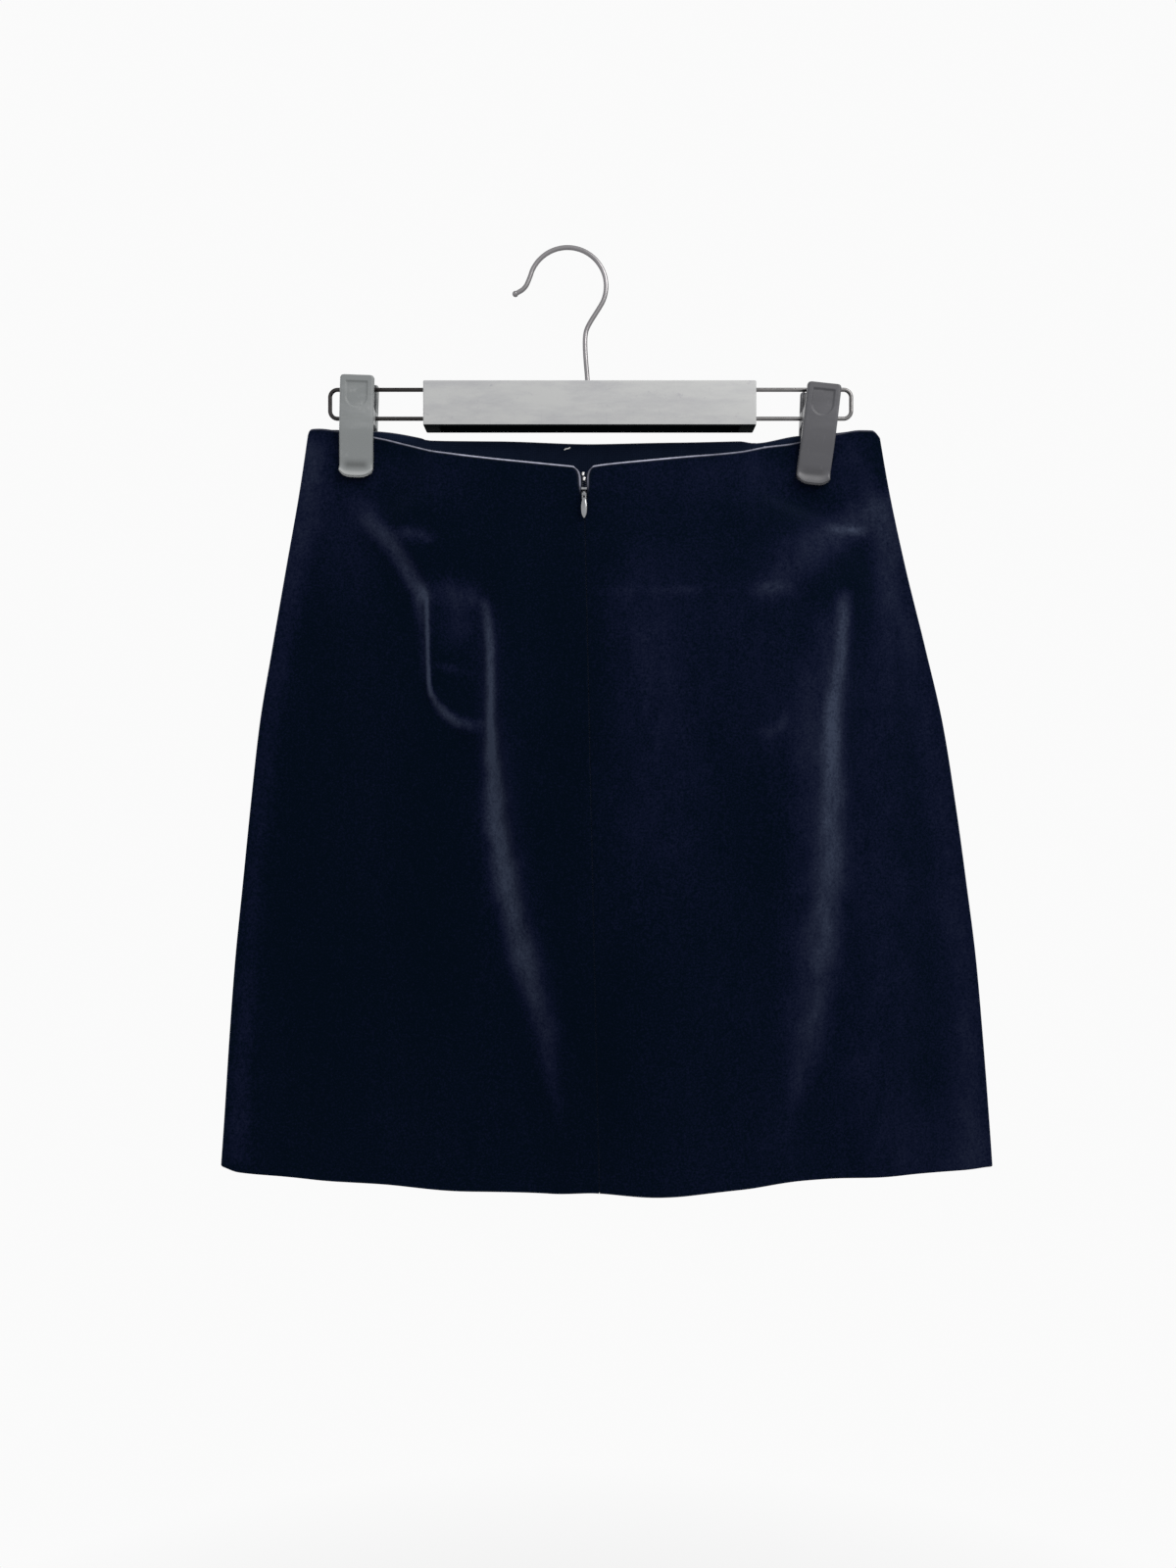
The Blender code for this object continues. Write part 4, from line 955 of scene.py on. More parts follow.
def drawn_metal(name, colour, dull, roughness, along=(0.08, 1.0, 1.0), line_share=0.25):
    """Plated wire or plate: drawn lines along it and slightly clouded plating, darker where it turns away."""
    material, tree, surface = shader(name, colour, roughness, metallic=1.0)
    surface.inputs["Specular Tint"].default_value = (*METAL_EDGE, 1.0)
    lines = noise(tree, coordinates(tree, along), 700, 2, 0.5)
    clouds = noise(tree, coordinates(tree), 60, 3, 0.5)
    cloudy = ranged(tree, clouds, 0.4, 0.7, 0.0, 0.5)
    share = maths(tree, "ADD", cloudy, ranged(tree, lines, 0.45, 0.75, 0.0, line_share), clamp=True)
    tree.links.new(mixed(tree, share, colour, dull), surface.inputs["Base Color"])
    rough = ranged(tree, clouds, 0.35, 0.7, roughness * 0.85, roughness * 1.3)
    tree.links.new(rough, surface.inputs["Roughness"])
    bump(tree, surface, clouds, 0.05, 0.0001)
    return material


def thread_material():
    material, tree, surface = shader("tack_thread", (0.9, 0.9, 0.89), 0.8)
    inputs = {"Vector": coordinates(tree), "Scale": 900.0}
    fibre = add(tree, "ShaderNodeTexWave", inputs, bands_direction="DIAGONAL").outputs["Fac"]
    tree.links.new(mixed(tree, fibre, (0.82, 0.82, 0.82), (0.95, 0.95, 0.94)), surface.inputs["Base Color"])
    bump(tree, surface, fibre, 0.4, 0.0001)
    return material


VELVET = velvet("velvet_pile")
VELVET_GROUND = weave("velvet_ground", (0.0029, 0.0062, 0.0165), (0.0072, 0.0125, 0.030), 1.6, 0.95)
TAPE = weave("zip_tape_weave", (0.006, 0.009, 0.016), (0.016, 0.021, 0.032), 2.2)
COIL = plastic("zip_coil_nylon", (0.016, 0.019, 0.026), (0.07, 0.075, 0.09), 0.2, 0.4)
ZIP_METAL = drawn_metal("zip_metal", (0.36, 0.37, 0.385), (0.14, 0.145, 0.155), 0.2, (1.0, 1.0, 0.1))
BAR_PLASTIC = plastic("bar_plastic", (0.425, 0.43, 0.43), (0.27, 0.27, 0.30), 0.40, 0.42)
# painted shade: near-black plastic for the channel's inside and the downward lower edges
BAR_PAINTED_SHADE = plastic("bar_hollow_plastic", (0.0015, 0.003, 0.0042), (0.005, 0.008, 0.009), 0.9, 0.3, 0.02)
CLIP_COLOURS = {
    "clip_plastic": ((0.185, 0.197, 0.200), (0.31, 0.32, 0.325)),
    "clip_plastic_dark": ((0.068, 0.068, 0.077), (0.108, 0.108, 0.12)),
}
CLIP_PLASTICS = {slot: plastic(slot, *colours, 0.38, 0.45) for slot, colours in CLIP_COLOURS.items()}
HOOK_STEEL = drawn_metal("hook_steel", (0.29, 0.28, 0.29), (0.21, 0.205, 0.21), 0.30, (1.0, 1.0, 1.0), 0.1)
WIRE = drawn_metal("wire_bright", (0.22, 0.215, 0.215), (0.12, 0.117, 0.117), 0.22)
# the left wire's colour: darker than the right one's
WIRE_DARKER = drawn_metal("wire_darker", (0.052, 0.049, 0.049), (0.024, 0.022, 0.022), 0.28)
ZIP_STOP = drawn_metal("zip_stop_metal", (0.8, 0.8, 0.8), (0.35, 0.35, 0.35), 0.3, (1.0, 1.0, 1.0))
THREAD = thread_material()


# ------------------------------------------------------------------ the skirt
OUTWARD = {"back": -1.0, "front": 1.0}
ROWS = 214
WAIST_SHARES = (0.0, 0.0027, 0.0045)  # the first rows lie closer, for a thin rim
EVEN_FROM_SHARE = 0.007
ROLL_STEPS = 7  # columns round a side edge
BACK_STEP = 1.6
FRONT_STEP = 2.4
DART_STEP = 0.7
DART_REACH = 4.2
LEVEL_PASSES = 4
HALF_WIDTH = {1: 215, -1: 225}  # about, from a side seam to the middle, for the number of columns
OUTER_SHARE = 0.45  # of it up to the dart
INNER_SHARE = 0.52  # of it beyond the dart
FRONT_MIDDLE_X = 16.0

STRIP_COLUMNS = (-12.0, -8.0, -4.0, -1.0, -0.3, 0.0, 0.3, 1.0, 4.0, 8.0, 12.0)
STRIP_BELOW_ZIP = 2  # rows
STRIP_DEEP = CLOTH + SEAM_GAP + 0.2
STRIP_THICK = 0.8
STRIP_LIFT = 0.25
STRIP_DIP = (0.35, 0.5)  # depth and half width, along the seam
STRIP_OVER_HEM = 3.0
STRIP_HEM_FADE = 4.0

PIPING_R = 0.45
PIPING_OUT = 0.42
PIPING_Z = (-118.0, -596.5)  # the level at which its top is read, and its end
PIPING_POINTS = 150

TACK_FROM = (-2.9, -127.6)
TACK_RUN = (3.9, 1.7)
TACK_WAVE = (0.2, 6.0)  # height, and how far it turns along the thread
TACK_R = 0.42
TACK_OFF = 0.35  # its middle, off the cloth's inner face


def spread(start, end, count):
    return [start + (end - start) * k / count for k in range(1, count + 1)]


def side_columns(z, way):
    edge = section("left" if way > 0 else "right", z)
    turns = [math.radians(90) * k / ROLL_STEPS for k in range(ROLL_STEPS + 1)]
    return [edge + way * FOLD_HALF * (1 - math.cos(turn)) for turn in turns]


def half_columns(z, way, dart, middle, step):
    """Columns from a side seam, past a dart where they gather, to a middle line."""
    columns = side_columns(z, way)
    line = curve(dart, 1, z)
    columns += spread(columns[-1], line - way * DART_REACH, round(HALF_WIDTH[way] * OUTER_SHARE / step))
    columns += spread(columns[-1], line + way * DART_REACH, round(2 * DART_REACH / DART_STEP))
    return columns + spread(columns[-1], middle, round(HALF_WIDTH[way] * INNER_SHARE / step))


def back_left_columns(z):
    return half_columns(z, 1, BACK_LEFT_DART, centre_back_x(z) - curve(ZIP_SLIT, 1, z), BACK_STEP)


def back_right_columns(z):
    return half_columns(z, -1, BACK_RIGHT_DART, centre_back_x(z) + curve(ZIP_SLIT, 1, z), BACK_STEP)


def front_columns(z):
    middle = np.full_like(z, FRONT_MIDDLE_X)
    left = half_columns(z, 1, FRONT_LEFT_DART, middle, FRONT_STEP)
    right = half_columns(z, -1, FRONT_RIGHT_DART, middle, FRONT_STEP)
    return left + right[-2::-1]


def face_points(side, columns, waist, hem):
    """The outer face as an array of points, rows by columns, its edges along the waist and hem tables."""
    even = np.linspace(EVEN_FROM_SHARE, 1.0, ROWS - len(WAIST_SHARES))
    shares = np.concatenate([WAIST_SHARES, even])[:, None]
    level = SKIRT_TOP + shares * (SKIRT_HEM - SKIRT_TOP)
    level = np.repeat(level, len(columns(level)), axis=1)
    for _ in range(LEVEL_PASSES):
        x = np.stack([line[:, k] for k, line in enumerate(columns(level))], axis=1)
        top, low = curve(waist, 1, x), curve(hem, 1, x)
        level = top + shares * (low - top)
    reach = depth(side, x, level) + relief(side, x, level)
    return np.stack([x, OUTWARD[side] * np.maximum(reach, SEAM_GAP / 2), level], axis=-1)


def sheet_normals(points, outward):
    along = np.gradient(points, axis=1)
    down = np.gradient(points, axis=0)
    normal = unit(np.cross(along, down))
    middle = normal[normal.shape[0] // 2, normal.shape[1] // 2, 1]
    return normal if middle * outward > 0 else -normal


def painted_sheen(lines, x, z):
    """How much painted sheen lightens the velvet at those points. Below the darts its edges wander a little.
    """
    below = smooth((PAINTED_SHEEN_WANDERS_BELOW - z) / PAINTED_SHEEN_WANDER_FADE)
    aside = below * waves(PAINTED_SHEEN_WANDER, x, z)
    uneven = below * waves(PAINTED_SHEEN_UNEVEN, x, z)
    return np.clip(strokes(lines, x + aside, z) * (1 + uneven), 0, 2.0)


def painted_rim_strength(side, x):
    """How strongly the rim highlight is painted: most between the clips, and hardly on the front or outside
    the clips.
    """
    if side == "front":
        return RIM_LEAST
    spans = (more * smooth((half - np.abs(x - middle)) / fade) for more, middle, half, fade in RIM_SPANS)
    return RIM_LEAST + sum(spans)


def painted_slit_highlight(side, x, z):
    """1 on the edges of the zip's slit, where a highlight of the pile seen end on is painted."""
    if side == "front":
        return 0.0
    off = np.abs(x - centre_back_x(z)) - curve(ZIP_SLIT, 1, z)
    strength = np.where(x < centre_back_x(z), *SLIT_EDGE_STRENGTH)
    return strength * np.exp(-((off / SLIT_EDGE_WIDTH) ** 2)) * smooth((z - SLIT_EDGE_LOW) / SLIT_EDGE_FADE)


def panel(name, node, side, columns, waist, hem, seam_columns, lines):
    """One velvet panel, with its pile outside and its woven ground inside, and a hem turned up inside."""
    outer = face_points(side, columns, waist, hem)
    x, z = outer[..., 0], outer[..., 2]
    normals = sheet_normals(outer, OUTWARD[side])
    for column, way in seam_columns:
        normals[:, column] = (-way, 0, 0)
    turned = HEM_THICKER * smooth((HEM_TURN_UP - (z - z[-1:])) / HEM_STEP)
    turned = turned * smooth(from_edge(x, z) / HEM_SIDE_FADE)
    inner = outer - (CLOTH + turned)[..., None] * normals
    for column, _ in seam_columns:
        inner[:, column, 1] = OUTWARD[side] * SEAM_GAP / 2
    # painted sheen and painted rim highlights, which the velvet's colour reads
    rim = painted_rim_strength(side, x) * np.exp(-(((z[:1] - z) / RIM_MARK) ** 2))
    marks = {"painted_sheen": painted_sheen(lines, x, z), "edge": np.clip(rim + painted_slit_highlight(side, x, z), 0, 1)}
    rims = ("top", "low") if len(seam_columns) == 2 else ("top", "low", "last")
    mesh = shell(name, outer, inner, rims, marks)
    cloth = piece(name, mesh, "velvet", VELVET, VELVET_GROUND, node=node)
    return outer, normals


def zip_end_row(outer):
    """The first row below the zip's end, along the centre back."""
    return int(np.searchsorted(-outer[:, -1, 2], -ZIP_END_Z))


def zip_tape(name, node, outer, normals):
    """One half of the zip's tape, inside the back along its centre seam."""
    rows = slice(TAPE_FIRST_ROW, zip_end_row(outer))
    edge, normal = outer[rows, -1], normals[rows, -1]
    across = unit(outer[rows, -2] - edge)
    under = edge - normal * (CLOTH + SEAM_GAP)
    z = under[:, 2]
    past = np.maximum(curve(ZIP_SLIT, 1, z) - TAPES_APART, 0)[:, None]
    past = past * smooth((z - TAPES_APART_ABOVE) / TAPES_APART_FADE)[:, None]
    inner_edge = under - across * past
    shares = np.linspace(0, 1, TAPE_COLUMNS)
    face = np.stack([inner_edge + across * (past + TAPE_WIDTH) * share for share in shares], axis=1)
    mesh = shell(name, face, face - normal[:, None] * TAPE_THICK, ("top", "low", "first", "last"))
    piece(name, mesh, "zip_tape", TAPE, TAPE, node=node)
    return inner_edge, normal, across


def zip_coil(name, edge, normal, across, stop_z):
    """The nylon coil along one tape's edge, a closed loop for each tooth, and the metal stop on its top."""
    out = math.copysign(1.0, -across[0, 0])
    turns = np.linspace(0, 2 * math.pi, COIL_STEPS + 1)[:-1]

    def at(level, values):
        return np.interp(-level, -edge[:, 2], values)

    points, faces, count = [], [], 0
    for level in np.arange(stop_z - COIL_BELOW_STOP, edge[-1, 2], -COIL_PITCH):
        x = at(level, edge[:, 0]) - out * COIL_OFF[0]
        y = at(level, edge[:, 1]) - at(level, normal[:, 1]) * (0.5 * TAPE_THICK + COIL_OFF[1])
        loop = [(x + COIL_LOOP[0] * math.cos(a), y + COIL_LOOP[1] * math.sin(a), level) for a in turns]
        made, found = tube_parts(loop, COIL_WIRE_R, COIL_SIDES, (0, 0, 1), closed=True, first=count)
        points.append(made)
        faces += found
        count += len(made)
    piece(name, mesh_from(name, np.concatenate(points), faces), "zip_tape", COIL)
    centre = np.array([centre_back_x(stop_z) - out * ZIP_STOP_OFF, at(stop_z, edge[:, 1]), stop_z])
    half = np.array(ZIP_STOP_SIZE) / 2
    stop = helper("stop_work", box_mesh("stop", centre - half, centre + half))
    bevelled(stop, ZIP_STOP_EDGE_R, 4)
    piece(name.replace("coil", "stop"), taken(stop), "zip_metal", ZIP_STOP)


def seam_strip(name, outer, normals):
    """The allowances of the centre back seam, pressed open behind it below the zip."""
    rows = slice(zip_end_row(outer) + STRIP_BELOW_ZIP, ROWS)
    under = outer[rows, -1] - normals[rows, -1] * STRIP_DEEP
    under[:, 0] += SEAM_GAP / 2
    widths = np.array(STRIP_COLUMNS)
    dip = STRIP_DIP[0] * np.exp(-((widths / STRIP_DIP[1]) ** 2))
    hem_top = outer[-1, -1, 2] + HEM_TURN_UP + STRIP_OVER_HEM
    over_hem = HEM_THICKER * smooth((hem_top - under[:, 2]) / STRIP_HEM_FADE)
    grid = np.repeat(under[:, None], len(widths), axis=1)
    grid[..., 0] += widths
    reach = depth("back", grid[..., 0], grid[..., 2]) + relief("back", grid[..., 0], grid[..., 2])
    grid[..., 1] = -reach + CLOTH + SEAM_GAP + over_hem[:, None] + STRIP_LIFT - dip
    mesh = shell(name, grid, grid + np.array([0, STRIP_THICK, 0]), ("top", "low", "first", "last"))
    piece(name, mesh, "velvet", VELVET_GROUND, VELVET_GROUND)


def side_seam(name, column, way):
    """The thread line of a side seam: a fine cord of pile that fills the join between front and back."""
    top = float(curve(FRONT_WAIST, 1, section(column, PIPING_Z[0]))) - 1.0
    z = np.linspace(top, PIPING_Z[1], PIPING_POINTS)
    path = [(float(section(column, level)) + way * PIPING_OUT, 0.0, float(level)) for level in z]
    mesh = tube(name, path, PIPING_R, 8)
    for mark_name in ("painted_sheen", "edge"):
        mesh.attributes.new(mark_name, "FLOAT", "POINT")
    piece(name, mesh, "velvet", VELVET)


def tack_thread():
    """A short white thread left inside the front's waist."""
    share = np.linspace(0, 1, 14)
    x = TACK_FROM[0] + TACK_RUN[0] * share
    z = TACK_FROM[1] + TACK_RUN[1] * share + TACK_WAVE[0] * np.sin(TACK_WAVE[1] * share)
    y = (depth("front", x, z) + relief("front", x, z) - CLOTH - TACK_OFF).min()
    path = np.stack([x, np.full_like(x, y), z], axis=1)
    piece("tack_thread", tube("tack_thread", path, TACK_R, 10), "velvet", THREAD)


def make_skirt():
    left = panel(
        "back_left_cloth", "back_left_panel", "back", back_left_columns, BACK_WAIST, BACK_HEM,
        [(0, 1)], BACK_PAINTED_SHEEN,
    )
    right = panel(
        "back_right_cloth", "back_right_panel", "back", back_right_columns, BACK_WAIST, BACK_HEM,
        [(0, -1)], BACK_PAINTED_SHEEN,
    )
    panel(
        "front_cloth", "front_panel", "front", front_columns, FRONT_WAIST, FRONT_HEM,
        [(0, 1), (-1, -1)], FRONT_PAINTED_SHEEN,
    )
    for name, half in (("left", left), ("right", right)):
        tape = zip_tape(f"zip_tape_{name}_woven", f"zip_tape_{name}", *half)
        zip_coil(f"zip_coil_{name}", *tape, ZIP_STOPS_Z[name])
    seam_strip("centre_back_allowance", *left)
    for name, way in (("left", 1), ("right", -1)):
        side_seam(f"side_seam_{name}", name, way)
    tack_thread()


# ------------------------------------------------------------------ zip slider and pull tab
def make_slider():
    """The slider: a body behind the tape, a neck through the slit and a ring for the pull."""
    pivot_x, pivot_y, pivot_z = PULL_PIVOT
    wide, deep, tall = SLIDER_BODY
    cloth_face = -float(depth("back", pivot_x - wide / 2, pivot_z + tall / 2))
    tape_back = cloth_face + CLOTH + SEAM_GAP + TAPE_THICK
    low = (pivot_x - wide / 2, tape_back + SLIDER_GAP, pivot_z - tall / 2)
    high = (low[0] + wide, low[1] + deep, low[2] + tall)
    slider = helper("slider_work", box_mesh("slider", low, high))
    bevelled(slider, SLIDER_EDGE_R, 4)
    neck_low = (pivot_x - RING_WIDTH / 2, pivot_y + (RING_HOLE_R + RING_R) / 2, pivot_z - NECK_HALF)
    neck_high = (pivot_x + RING_WIDTH / 2, low[1] + deep / 3, pivot_z + NECK_HALF)
    boolean(slider, box_mesh("neck", neck_low, neck_high), "UNION")
    bridge_low = (pivot_x - BRIDGE_HALF, pivot_y + BRIDGE_BEHIND, pivot_z + BRIDGE_ABOVE[0])
    bridge_high = (pivot_x + BRIDGE_HALF, neck_high[1], pivot_z + BRIDGE_ABOVE[1])
    boolean(slider, box_mesh("bridge", bridge_low, bridge_high), "UNION")

    def across_x(a, b, off):
        return pivot_x + off, pivot_y + a, pivot_z + b

    boolean(slider, slab(ring_outline(RING_R, 48), RING_WIDTH / 2, across_x), "UNION")
    boolean(slider, slab(ring_outline(RING_HOLE_R, 40), RING_WIDTH, across_x), "DIFFERENCE")
    bevelled(slider, RING_EDGE_R, 3, 50)
    piece("slider_metal", taken(slider), "zip_metal", ZIP_METAL, node="zip_slider")


def make_pull():
    """The pull tab: a drop, thickest low down, grooved, on a round bar through the slider's ring."""
    top, shoulder, end = PULL[0][0], PULL[-4][0], PULL[-1][0]
    levels = np.concatenate([np.linspace(top, shoulder, 22), np.linspace(shoulder, end, 12)[1:]])
    half, thick, bend = (curve(PULL, k, levels)[:, None] for k in (1, 2, 3))
    turns = np.arange(PULL_SIDES) * 2 * math.pi / PULL_SIDES
    x = half * np.sign(np.cos(turns)) * np.abs(np.cos(turns)) ** bend
    y = thick / 2 * np.sign(np.sin(turns)) * np.abs(np.sin(turns)) ** bend
    grid = np.arange(x.size).reshape(x.shape)
    faces = quads(grid, closed=True) + [grid[0].tolist(), grid[-1].tolist()]
    points = np.stack([x, y, np.broadcast_to(-levels[:, None], x.shape)], axis=-1).reshape(-1, 3)
    pull = helper("pull_work", mesh_from("pull", points, faces))
    half, far = PULL_WINDOW
    boolean(pull, box_mesh("window", (-half, -1, -far), (half, 1, 1)), "DIFFERENCE")
    groove = [(a * DENT_HALF[0], -DENT_BELOW + b * DENT_HALF[1]) for a, b in ring_outline(1, 28)]
    for face_y in (-1, 1):
        middle = face_y * (thick.max() / 2 - DENT_DEEP + DENT_CUTTER)
        dent = slab(groove, DENT_CUTTER, lambda a, b, off, y=middle: (a, y + off, b))
        boolean(pull, dent, "DIFFERENCE")
    bar = slab(ring_outline(PULL_BAR_R, 28), half + PULL_BAR_ROOT, lambda a, b, off: (off, a, b))
    boolean(pull, bar, "UNION")
    mesh = taken(pull)
    piece("pull_plate", mesh, "zip_metal", ZIP_METAL, body=PULL_BODY, node="zip_pull", place=PULL_PIVOT)


# ------------------------------------------------------------------ the hanger
def arc(centre, radius, start, end, steps):
    turns = [math.radians(start + (end - start) * k / steps) for k in range(steps + 1)]
    return [(centre[0] + radius * math.cos(a), centre[1] + radius * math.sin(a)) for a in turns]


def smoothed(points, passes=4):
    for _ in range(passes):
        cut = [points[0]]
        for a, b in zip(points, points[1:]):
            cut += [tuple((1 - share) * p + share * q for p, q in zip(a, b)) for share in (0.25, 0.75)]
        points = cut + [points[-1]]
    return points


def make_hook():
    crown = arc(HOOK_CROWN, HOOK_CROWN_R, *HOOK_CROWN_ARC, 66)
    tip = smoothed([HOOK_TIP, HOOK_TIP_BEND, crown[0], crown[3]])
    neck = smoothed([crown[-4], crown[-1], *HOOK_NECK])
    stem = tip[:-1] + crown[4:-4] + neck
    way = np.array(stem[1]) - np.array(stem[0])
    way /= np.linalg.norm(way)
    turns = [math.radians(a) for a in HOOK_BALL_TURNS]
    ball = [tuple(np.array(stem[0]) - way * HOOK_BALL_R * math.cos(a)) for a in turns]
    radii = [HOOK_BALL_R * math.sin(a) for a in turns] + [HOOK_R] * (len(stem) - 1)
    head = [(stem[-1][0], HOOK_HEAD_Z + below) for below in (0.05, 0.0, -HOOK_HEAD_TALL)]
    radii += [HOOK_R, HOOK_HEAD_R, HOOK_HEAD_R]
    mesh = tube("hook_drawn", in_plane(ball + stem[1:] + head), radii, WIRE_SIDES)
    piece("hook_drawn", mesh, "wire", HOOK_STEEL, node="hanger_hook")


def make_wires():
    for name, end_x, way, material in (
        ("wire_left", WIRE_ENDS_X[0], 1, WIRE_DARKER),
        ("wire_right", WIRE_ENDS_X[1], -1, WIRE),
    ):
        inside = BAR_CENTRE_X - way * (BAR_LENGTH / 2 - WIRE_LEG_INSIDE)
        bend_x = end_x + way * WIRE_BEND_R
        upper = arc((bend_x, WIRE_TOP_Z - WIRE_BEND_R), WIRE_BEND_R, 90, 90 + way * 90, 18)
        lower = arc((bend_x, WIRE_LOW_Z + WIRE_BEND_R), WIRE_BEND_R, 90 + way * 90, 90 + way * 180, 18)
        path = [(inside, WIRE_TOP_Z), *upper, *lower, (inside, WIRE_LOW_Z)]
        mesh = tube(f"{name}_drawn", in_plane(path), WIRE_R, WIRE_SIDES)
        piece(f"{name}_drawn", mesh, "wire", material, node=name)


def bore(target, x_range, z, radius):
    half = (x_range[1] - x_range[0]) / 2
    round_bar = slab(ring_outline(radius, 40), half, lambda a, b, off: (sum(x_range) / 2 + off, a, z + b))
    boolean(target, round_bar, "DIFFERENCE")


def make_bar():
    """The bar: a rounded channel open below, painted dark as shade inside and along its downward lower edges,
    with a solid block at each end.
    """
    left, right = BAR_CENTRE_X - BAR_LENGTH / 2, BAR_CENTRE_X + BAR_LENGTH / 2
    low, high = (left, BAR_FRONT_Y, BAR_TOP - BAR_HEIGHT), (right, BAR_BACK_Y, BAR_TOP)
    bar = helper("bar_work", box_mesh("bar", low, high))
    bevelled(bar, BAR_EDGE_R, 5)
    inside_low = (left + BAR_END, BAR_FRONT_Y + BAR_WALL, low[2] - BORE_REACH)
    inside_high = (right - BAR_END, BAR_BACK_Y - BAR_WALL, BAR_TOP - BAR_WALL)
    boolean(bar, box_mesh("hollow", inside_low, inside_high), "DIFFERENCE")
    for z in (WIRE_TOP_Z, WIRE_LOW_Z):
        bore(bar, (left - BORE_REACH, left + BAR_END + BORE_REACH), z, WIRE_R + SEAM_GAP)
        bore(bar, (right - BAR_END - BORE_REACH, right + BORE_REACH), z, WIRE_R + SEAM_GAP)
    hole_x, outline = HOOK_NECK[-1][0], ring_outline(HOOK_R + SEAM_GAP, 40)
    hole = slab(outline, 2 * BAR_WALL, lambda a, b, off: (hole_x + a, b, BAR_TOP + off))
    boolean(bar, hole, "DIFFERENCE")
    mesh = taken(bar)
    mesh.materials.append(BAR_PLASTIC)
    mesh.materials.append(BAR_PAINTED_SHADE)
    margin = 0.05
    # painted shade: faces inside the channel, and the lower edges that face down, take the near-black plastic
    for face in mesh.polygons:
        middle = np.array(face.center) / MM
        inside = all(a - margin < c < b + margin for a, c, b in zip(inside_low, middle, inside_high))
        below = face.normal.z < -0.45 and middle[2] < low[2] + BAR_SHADE_RIM
        face.material_index = 1 if inside or below else 0
    piece("bar_moulding", mesh, "bar_plastic", node="hanger_bar")


def channel(half, flange, face, corner):
    """One skin of a jaw, from its left flange's edge over its face to the right: (across, out) per row."""
    line = [(-half, flange + (face - corner - flange) * share) for share in (0.0, 0.34, 0.67)]
    for turn in np.radians(np.linspace(180, 90, 6)):
        line.append((-half + corner * (1 + math.cos(turn)), face - corner * (1 - math.sin(turn))))
    line += [((corner - half) * (1 - k / FACE_COLUMNS), face) for k in range(1, FACE_COLUMNS + 1)]
    line += [(-u, v) for u, v in reversed(line[:-1])]
    across = np.stack([np.broadcast_to(u, half.shape) for u, _ in line], axis=1)
    out = np.stack([np.broadcast_to(v, half.shape) for _, v in line], axis=1)
    return across, out


def thumb_rest(across, below):
    """How far a point lies inside the thumb rest's outline, straight above and round below."""
    half = THUMB_REST_WIDTH / 2
    under_top = below - THUMB_REST_TOP
    sides = half - np.abs(across)
    round_low = half - np.hypot(across, below - THUMB_REST_TOP - THUMB_REST_STRAIGHT)
    return np.minimum(under_top, np.where(under_top > THUMB_REST_STRAIGHT, round_low, sides))


def make_jaw(name, node, rise, tilt, x, outward, slot):
    """A jaw: a channel that holds the wire between its ears, with a sunk thumb rest, a crease and a lip."""
    fine = np.linspace(0, JAW_FINE_TO, JAW_ROWS[0])
    below = np.concatenate([fine, np.linspace(JAW_FINE_TO, CLIP_LENGTH, JAW_ROWS[1])[1:]])
    face, flange, thick = (curve(JAW, k, below) for k in (1, 2, 3))
    ear = smooth(((1 + EYE_FADE) * EYE_HALF - np.abs(below - rise)) / (EYE_FADE * EYE_HALF))
    flange = flange * (1 - ear) + EYE_REACH * ear
    half = CLIP_WIDTH / 2 - CLIP_TOP_CUT * np.maximum(CLIP_TOP_CORNER - below, 0) ** 2 / CLIP_TOP_CORNER
    skins = []
    deep = face - thick
    inner_corner = np.clip((deep - flange) / 2, *CLIP_INNER_CORNER)
    for (across, out), sunk in (
        (channel(half, flange, face, np.full(half.shape, CLIP_CORNER)), THUMB_REST_DEPTH),
        (channel(half - CLIP_WALL, flange, deep, inner_corner), 0.0),
    ):
        rows = np.broadcast_to(below[:, None], across.shape)
        rest = smooth(thumb_rest(across, rows) / THUMB_REST_EDGE + 0.5) * (np.abs(across) < THUMB_REST_REACH)
        sag = CLIP_SAG * np.abs(across / (CLIP_WIDTH / 2)) ** CLIP_SAG_POWERS[0]
        sag = sag * (rows / CLIP_LENGTH) ** CLIP_SAG_POWERS[1]
        skins.append(np.stack([across, outward * (out - sunk * rest), rise - rows + sag], axis=-1))
    # painted highlight: the lip, which faces up, is painted lighter
    lip = LIP_PAINTED_HIGHLIGHT[slot] * smooth((below - LIP_TOP) / LIP_FADE)
    across, rows = skins[0][..., 0], rise - skins[0][..., 2]
    # painted shade: a dark band across the crease above the lip
    grime = np.exp(-(((rows - CREASE_BELOW) / CREASE_HALF[1]) ** 2))
    grime = CREASE_PAINTED_SHADE[slot] * grime * smooth((CREASE_HALF[0] - np.abs(across)) / CREASE_FADE)
    marks = {"worn": np.repeat(lip[:, None], across.shape[1], axis=1), "grime": grime}
    mesh = shell(name, *skins, ("top", "low", "first", "last"), marks)
    mesh.materials.append(CLIP_PLASTICS[slot])
    mesh.polygons.foreach_set("material_index", np.zeros(len(mesh.polygons), np.int32))
    piece(name, mesh, slot, node=node, place=(x, 0, WIRE_LOW_Z), tilt=tilt)


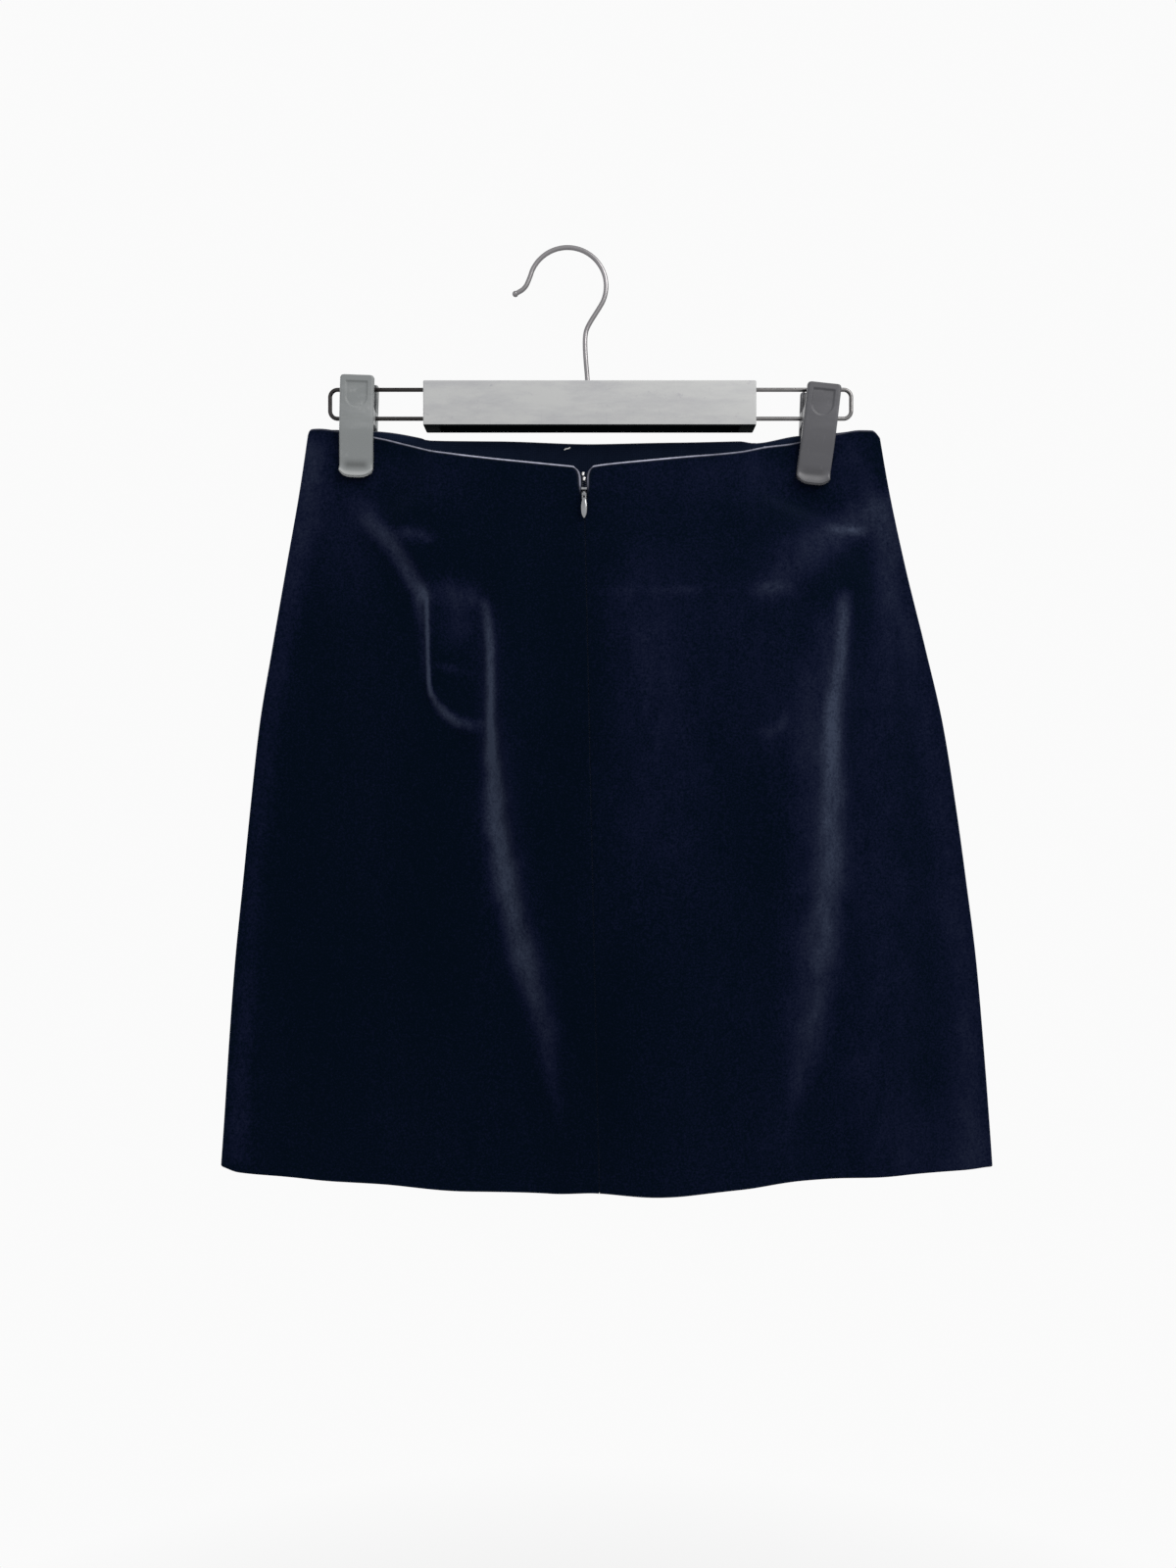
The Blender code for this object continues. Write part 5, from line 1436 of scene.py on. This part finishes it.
def make_spring(name, node, x, tilt):
    reach = float(curve(JAW, 1, SPRING_TOP_BELOW)) - CLIP_WALL - SEAM_GAP - SPRING_THICK / 2
    leg = [(reach, SPRING_RISE), (reach - SPRING_LEG_LEAN, SPRING_RISE - SPRING_LEG)]
    path = np.array([(-a, b) for a, b in leg] + arc((0, 0), SPRING_BEND_R, 180, 360, 30) + leg[::-1])
    along = unit(np.gradient(path, axis=0))
    aside = np.stack([along[:, 1], -along[:, 0]], axis=1) * SPRING_THICK / 2
    outline = [tuple(p) for p in path + aside] + [tuple(p) for p in (path - aside)[::-1]]
    mesh = slab(outline, SPRING_WIDTH / 2, lambda a, b, off: (off, a, b), name, 40)
    piece(name, mesh, "wire", WIRE, node=node, place=(x, 0, WIRE_LOW_Z), tilt=tilt)


def make_clips():
    for name, x, rise, tilt, back_tilt, slot in CLIPS:
        for part, outward, turned in (("front", -1, tilt), ("back", 1, back_tilt)):
            node = f"clip_{name}_{part}"
            make_jaw(f"{node}_moulding", node, rise, turned, x, outward, slot)
        node = f"clip_{name}_spring"
        make_spring(f"{node}_leaf", node, x, (tilt + back_tilt) / 2)


# ------------------------------------------------------------------ camera, stage and light
def make_camera():
    data = bpy.data.cameras.new("camera")
    data.lens = CAMERA_LENS
    data.sensor_width = 36.0
    data.clip_end = 50.0
    camera = helper("camera", data)
    camera.location = Vector(CAMERA_PLACE) * MM
    camera.rotation_euler = (math.radians(90), 0, 0)
    bpy.context.scene.camera = camera


def stage_material():
    """Pale paper that glows evenly, greyer at the sides, which darkens the wires' edges, and at the floor."""
    material = bpy.data.materials.new("stage_paper")
    material.use_nodes = True
    tree = material.node_tree
    tree.nodes.clear()
    split = add(tree, "ShaderNodeSeparateXYZ", {"Vector": coordinates(tree)}).outputs
    behind = ranged(tree, split["Y"], *STAGE_BEHIND)
    before = ranged(tree, split["Y"], *STAGE_BEFORE)
    round_it = maths(tree, "MAXIMUM", behind, before)
    strength = maths(tree, "MULTIPLY", round_it, ranged(tree, split["Z"], *STAGE_LOW))
    glow = add(tree, "ShaderNodeEmission", {"Color": (1.0, 1.0, 1.0, 1.0), "Strength": strength})
    out = add(tree, "ShaderNodeOutputMaterial")
    tree.links.new(glow.outputs["Emission"], out.inputs["Surface"])
    material.cycles.emission_sampling = "NONE"
    return material


def make_stage():
    """A round studio sweep: a floor, a wide curve, and upright sides."""
    bend = arc((STAGE_RADIUS - STAGE_CORNER, STAGE_FLOOR + STAGE_CORNER), STAGE_CORNER, -90, 0, 16)
    profile = [(1.0, STAGE_FLOOR), *bend, (STAGE_RADIUS, STAGE_TOP)]
    points = [(a, b, z) for radius, z in profile for a, b in ring_outline(radius, STAGE_SIDES)]
    grid = np.arange(len(points)).reshape(-1, STAGE_SIDES)
    mesh = mesh_from("stage", points, [grid[0].tolist()] + quads(grid, closed=True))
    mesh.materials.append(stage_material())
    helper("stage", mesh)


# Lights: name, place in metres, size, watts, colour.
LIGHTS = (
    ("key", (1.15, -1.2, 0.95), 1.2, 24.0, (1.0, 0.985, 0.96)),
    ("fill", (-1.5, -1.1, 0.1), 1.4, 2.0, (0.94, 0.97, 1.0)),
    ("back_key", (-1.1, 1.35, 0.7), 1.1, 9.0, (1.0, 0.99, 0.97)),
)
LIGHT_AIM = (0.02, 0.0, -0.33)


def make_lights():
    for name, place, size, watts, colour in LIGHTS:
        data = bpy.data.lights.new(name, "AREA")
        data.size = size
        data.energy = watts
        data.color = colour
        light = helper(name, data)
        light.location = place
        light.rotation_euler = (Vector(LIGHT_AIM) - Vector(place)).to_track_quat("-Z", "Y").to_euler()
    world = bpy.data.worlds.new("world")
    world.use_nodes = True
    background = world.node_tree.nodes["Background"]
    background.inputs["Color"].default_value = (1.0, 1.0, 1.0, 1.0)
    background.inputs["Strength"].default_value = WORLD_STRENGTH
    bpy.context.scene.world = world
    bpy.context.scene.view_settings.view_transform = "Standard"


make_camera()
make_stage()
make_lights()
make_skirt()
make_slider()
make_pull()
make_hook()
make_wires()
make_bar()
make_clips()

bpy.context.view_layer.update()
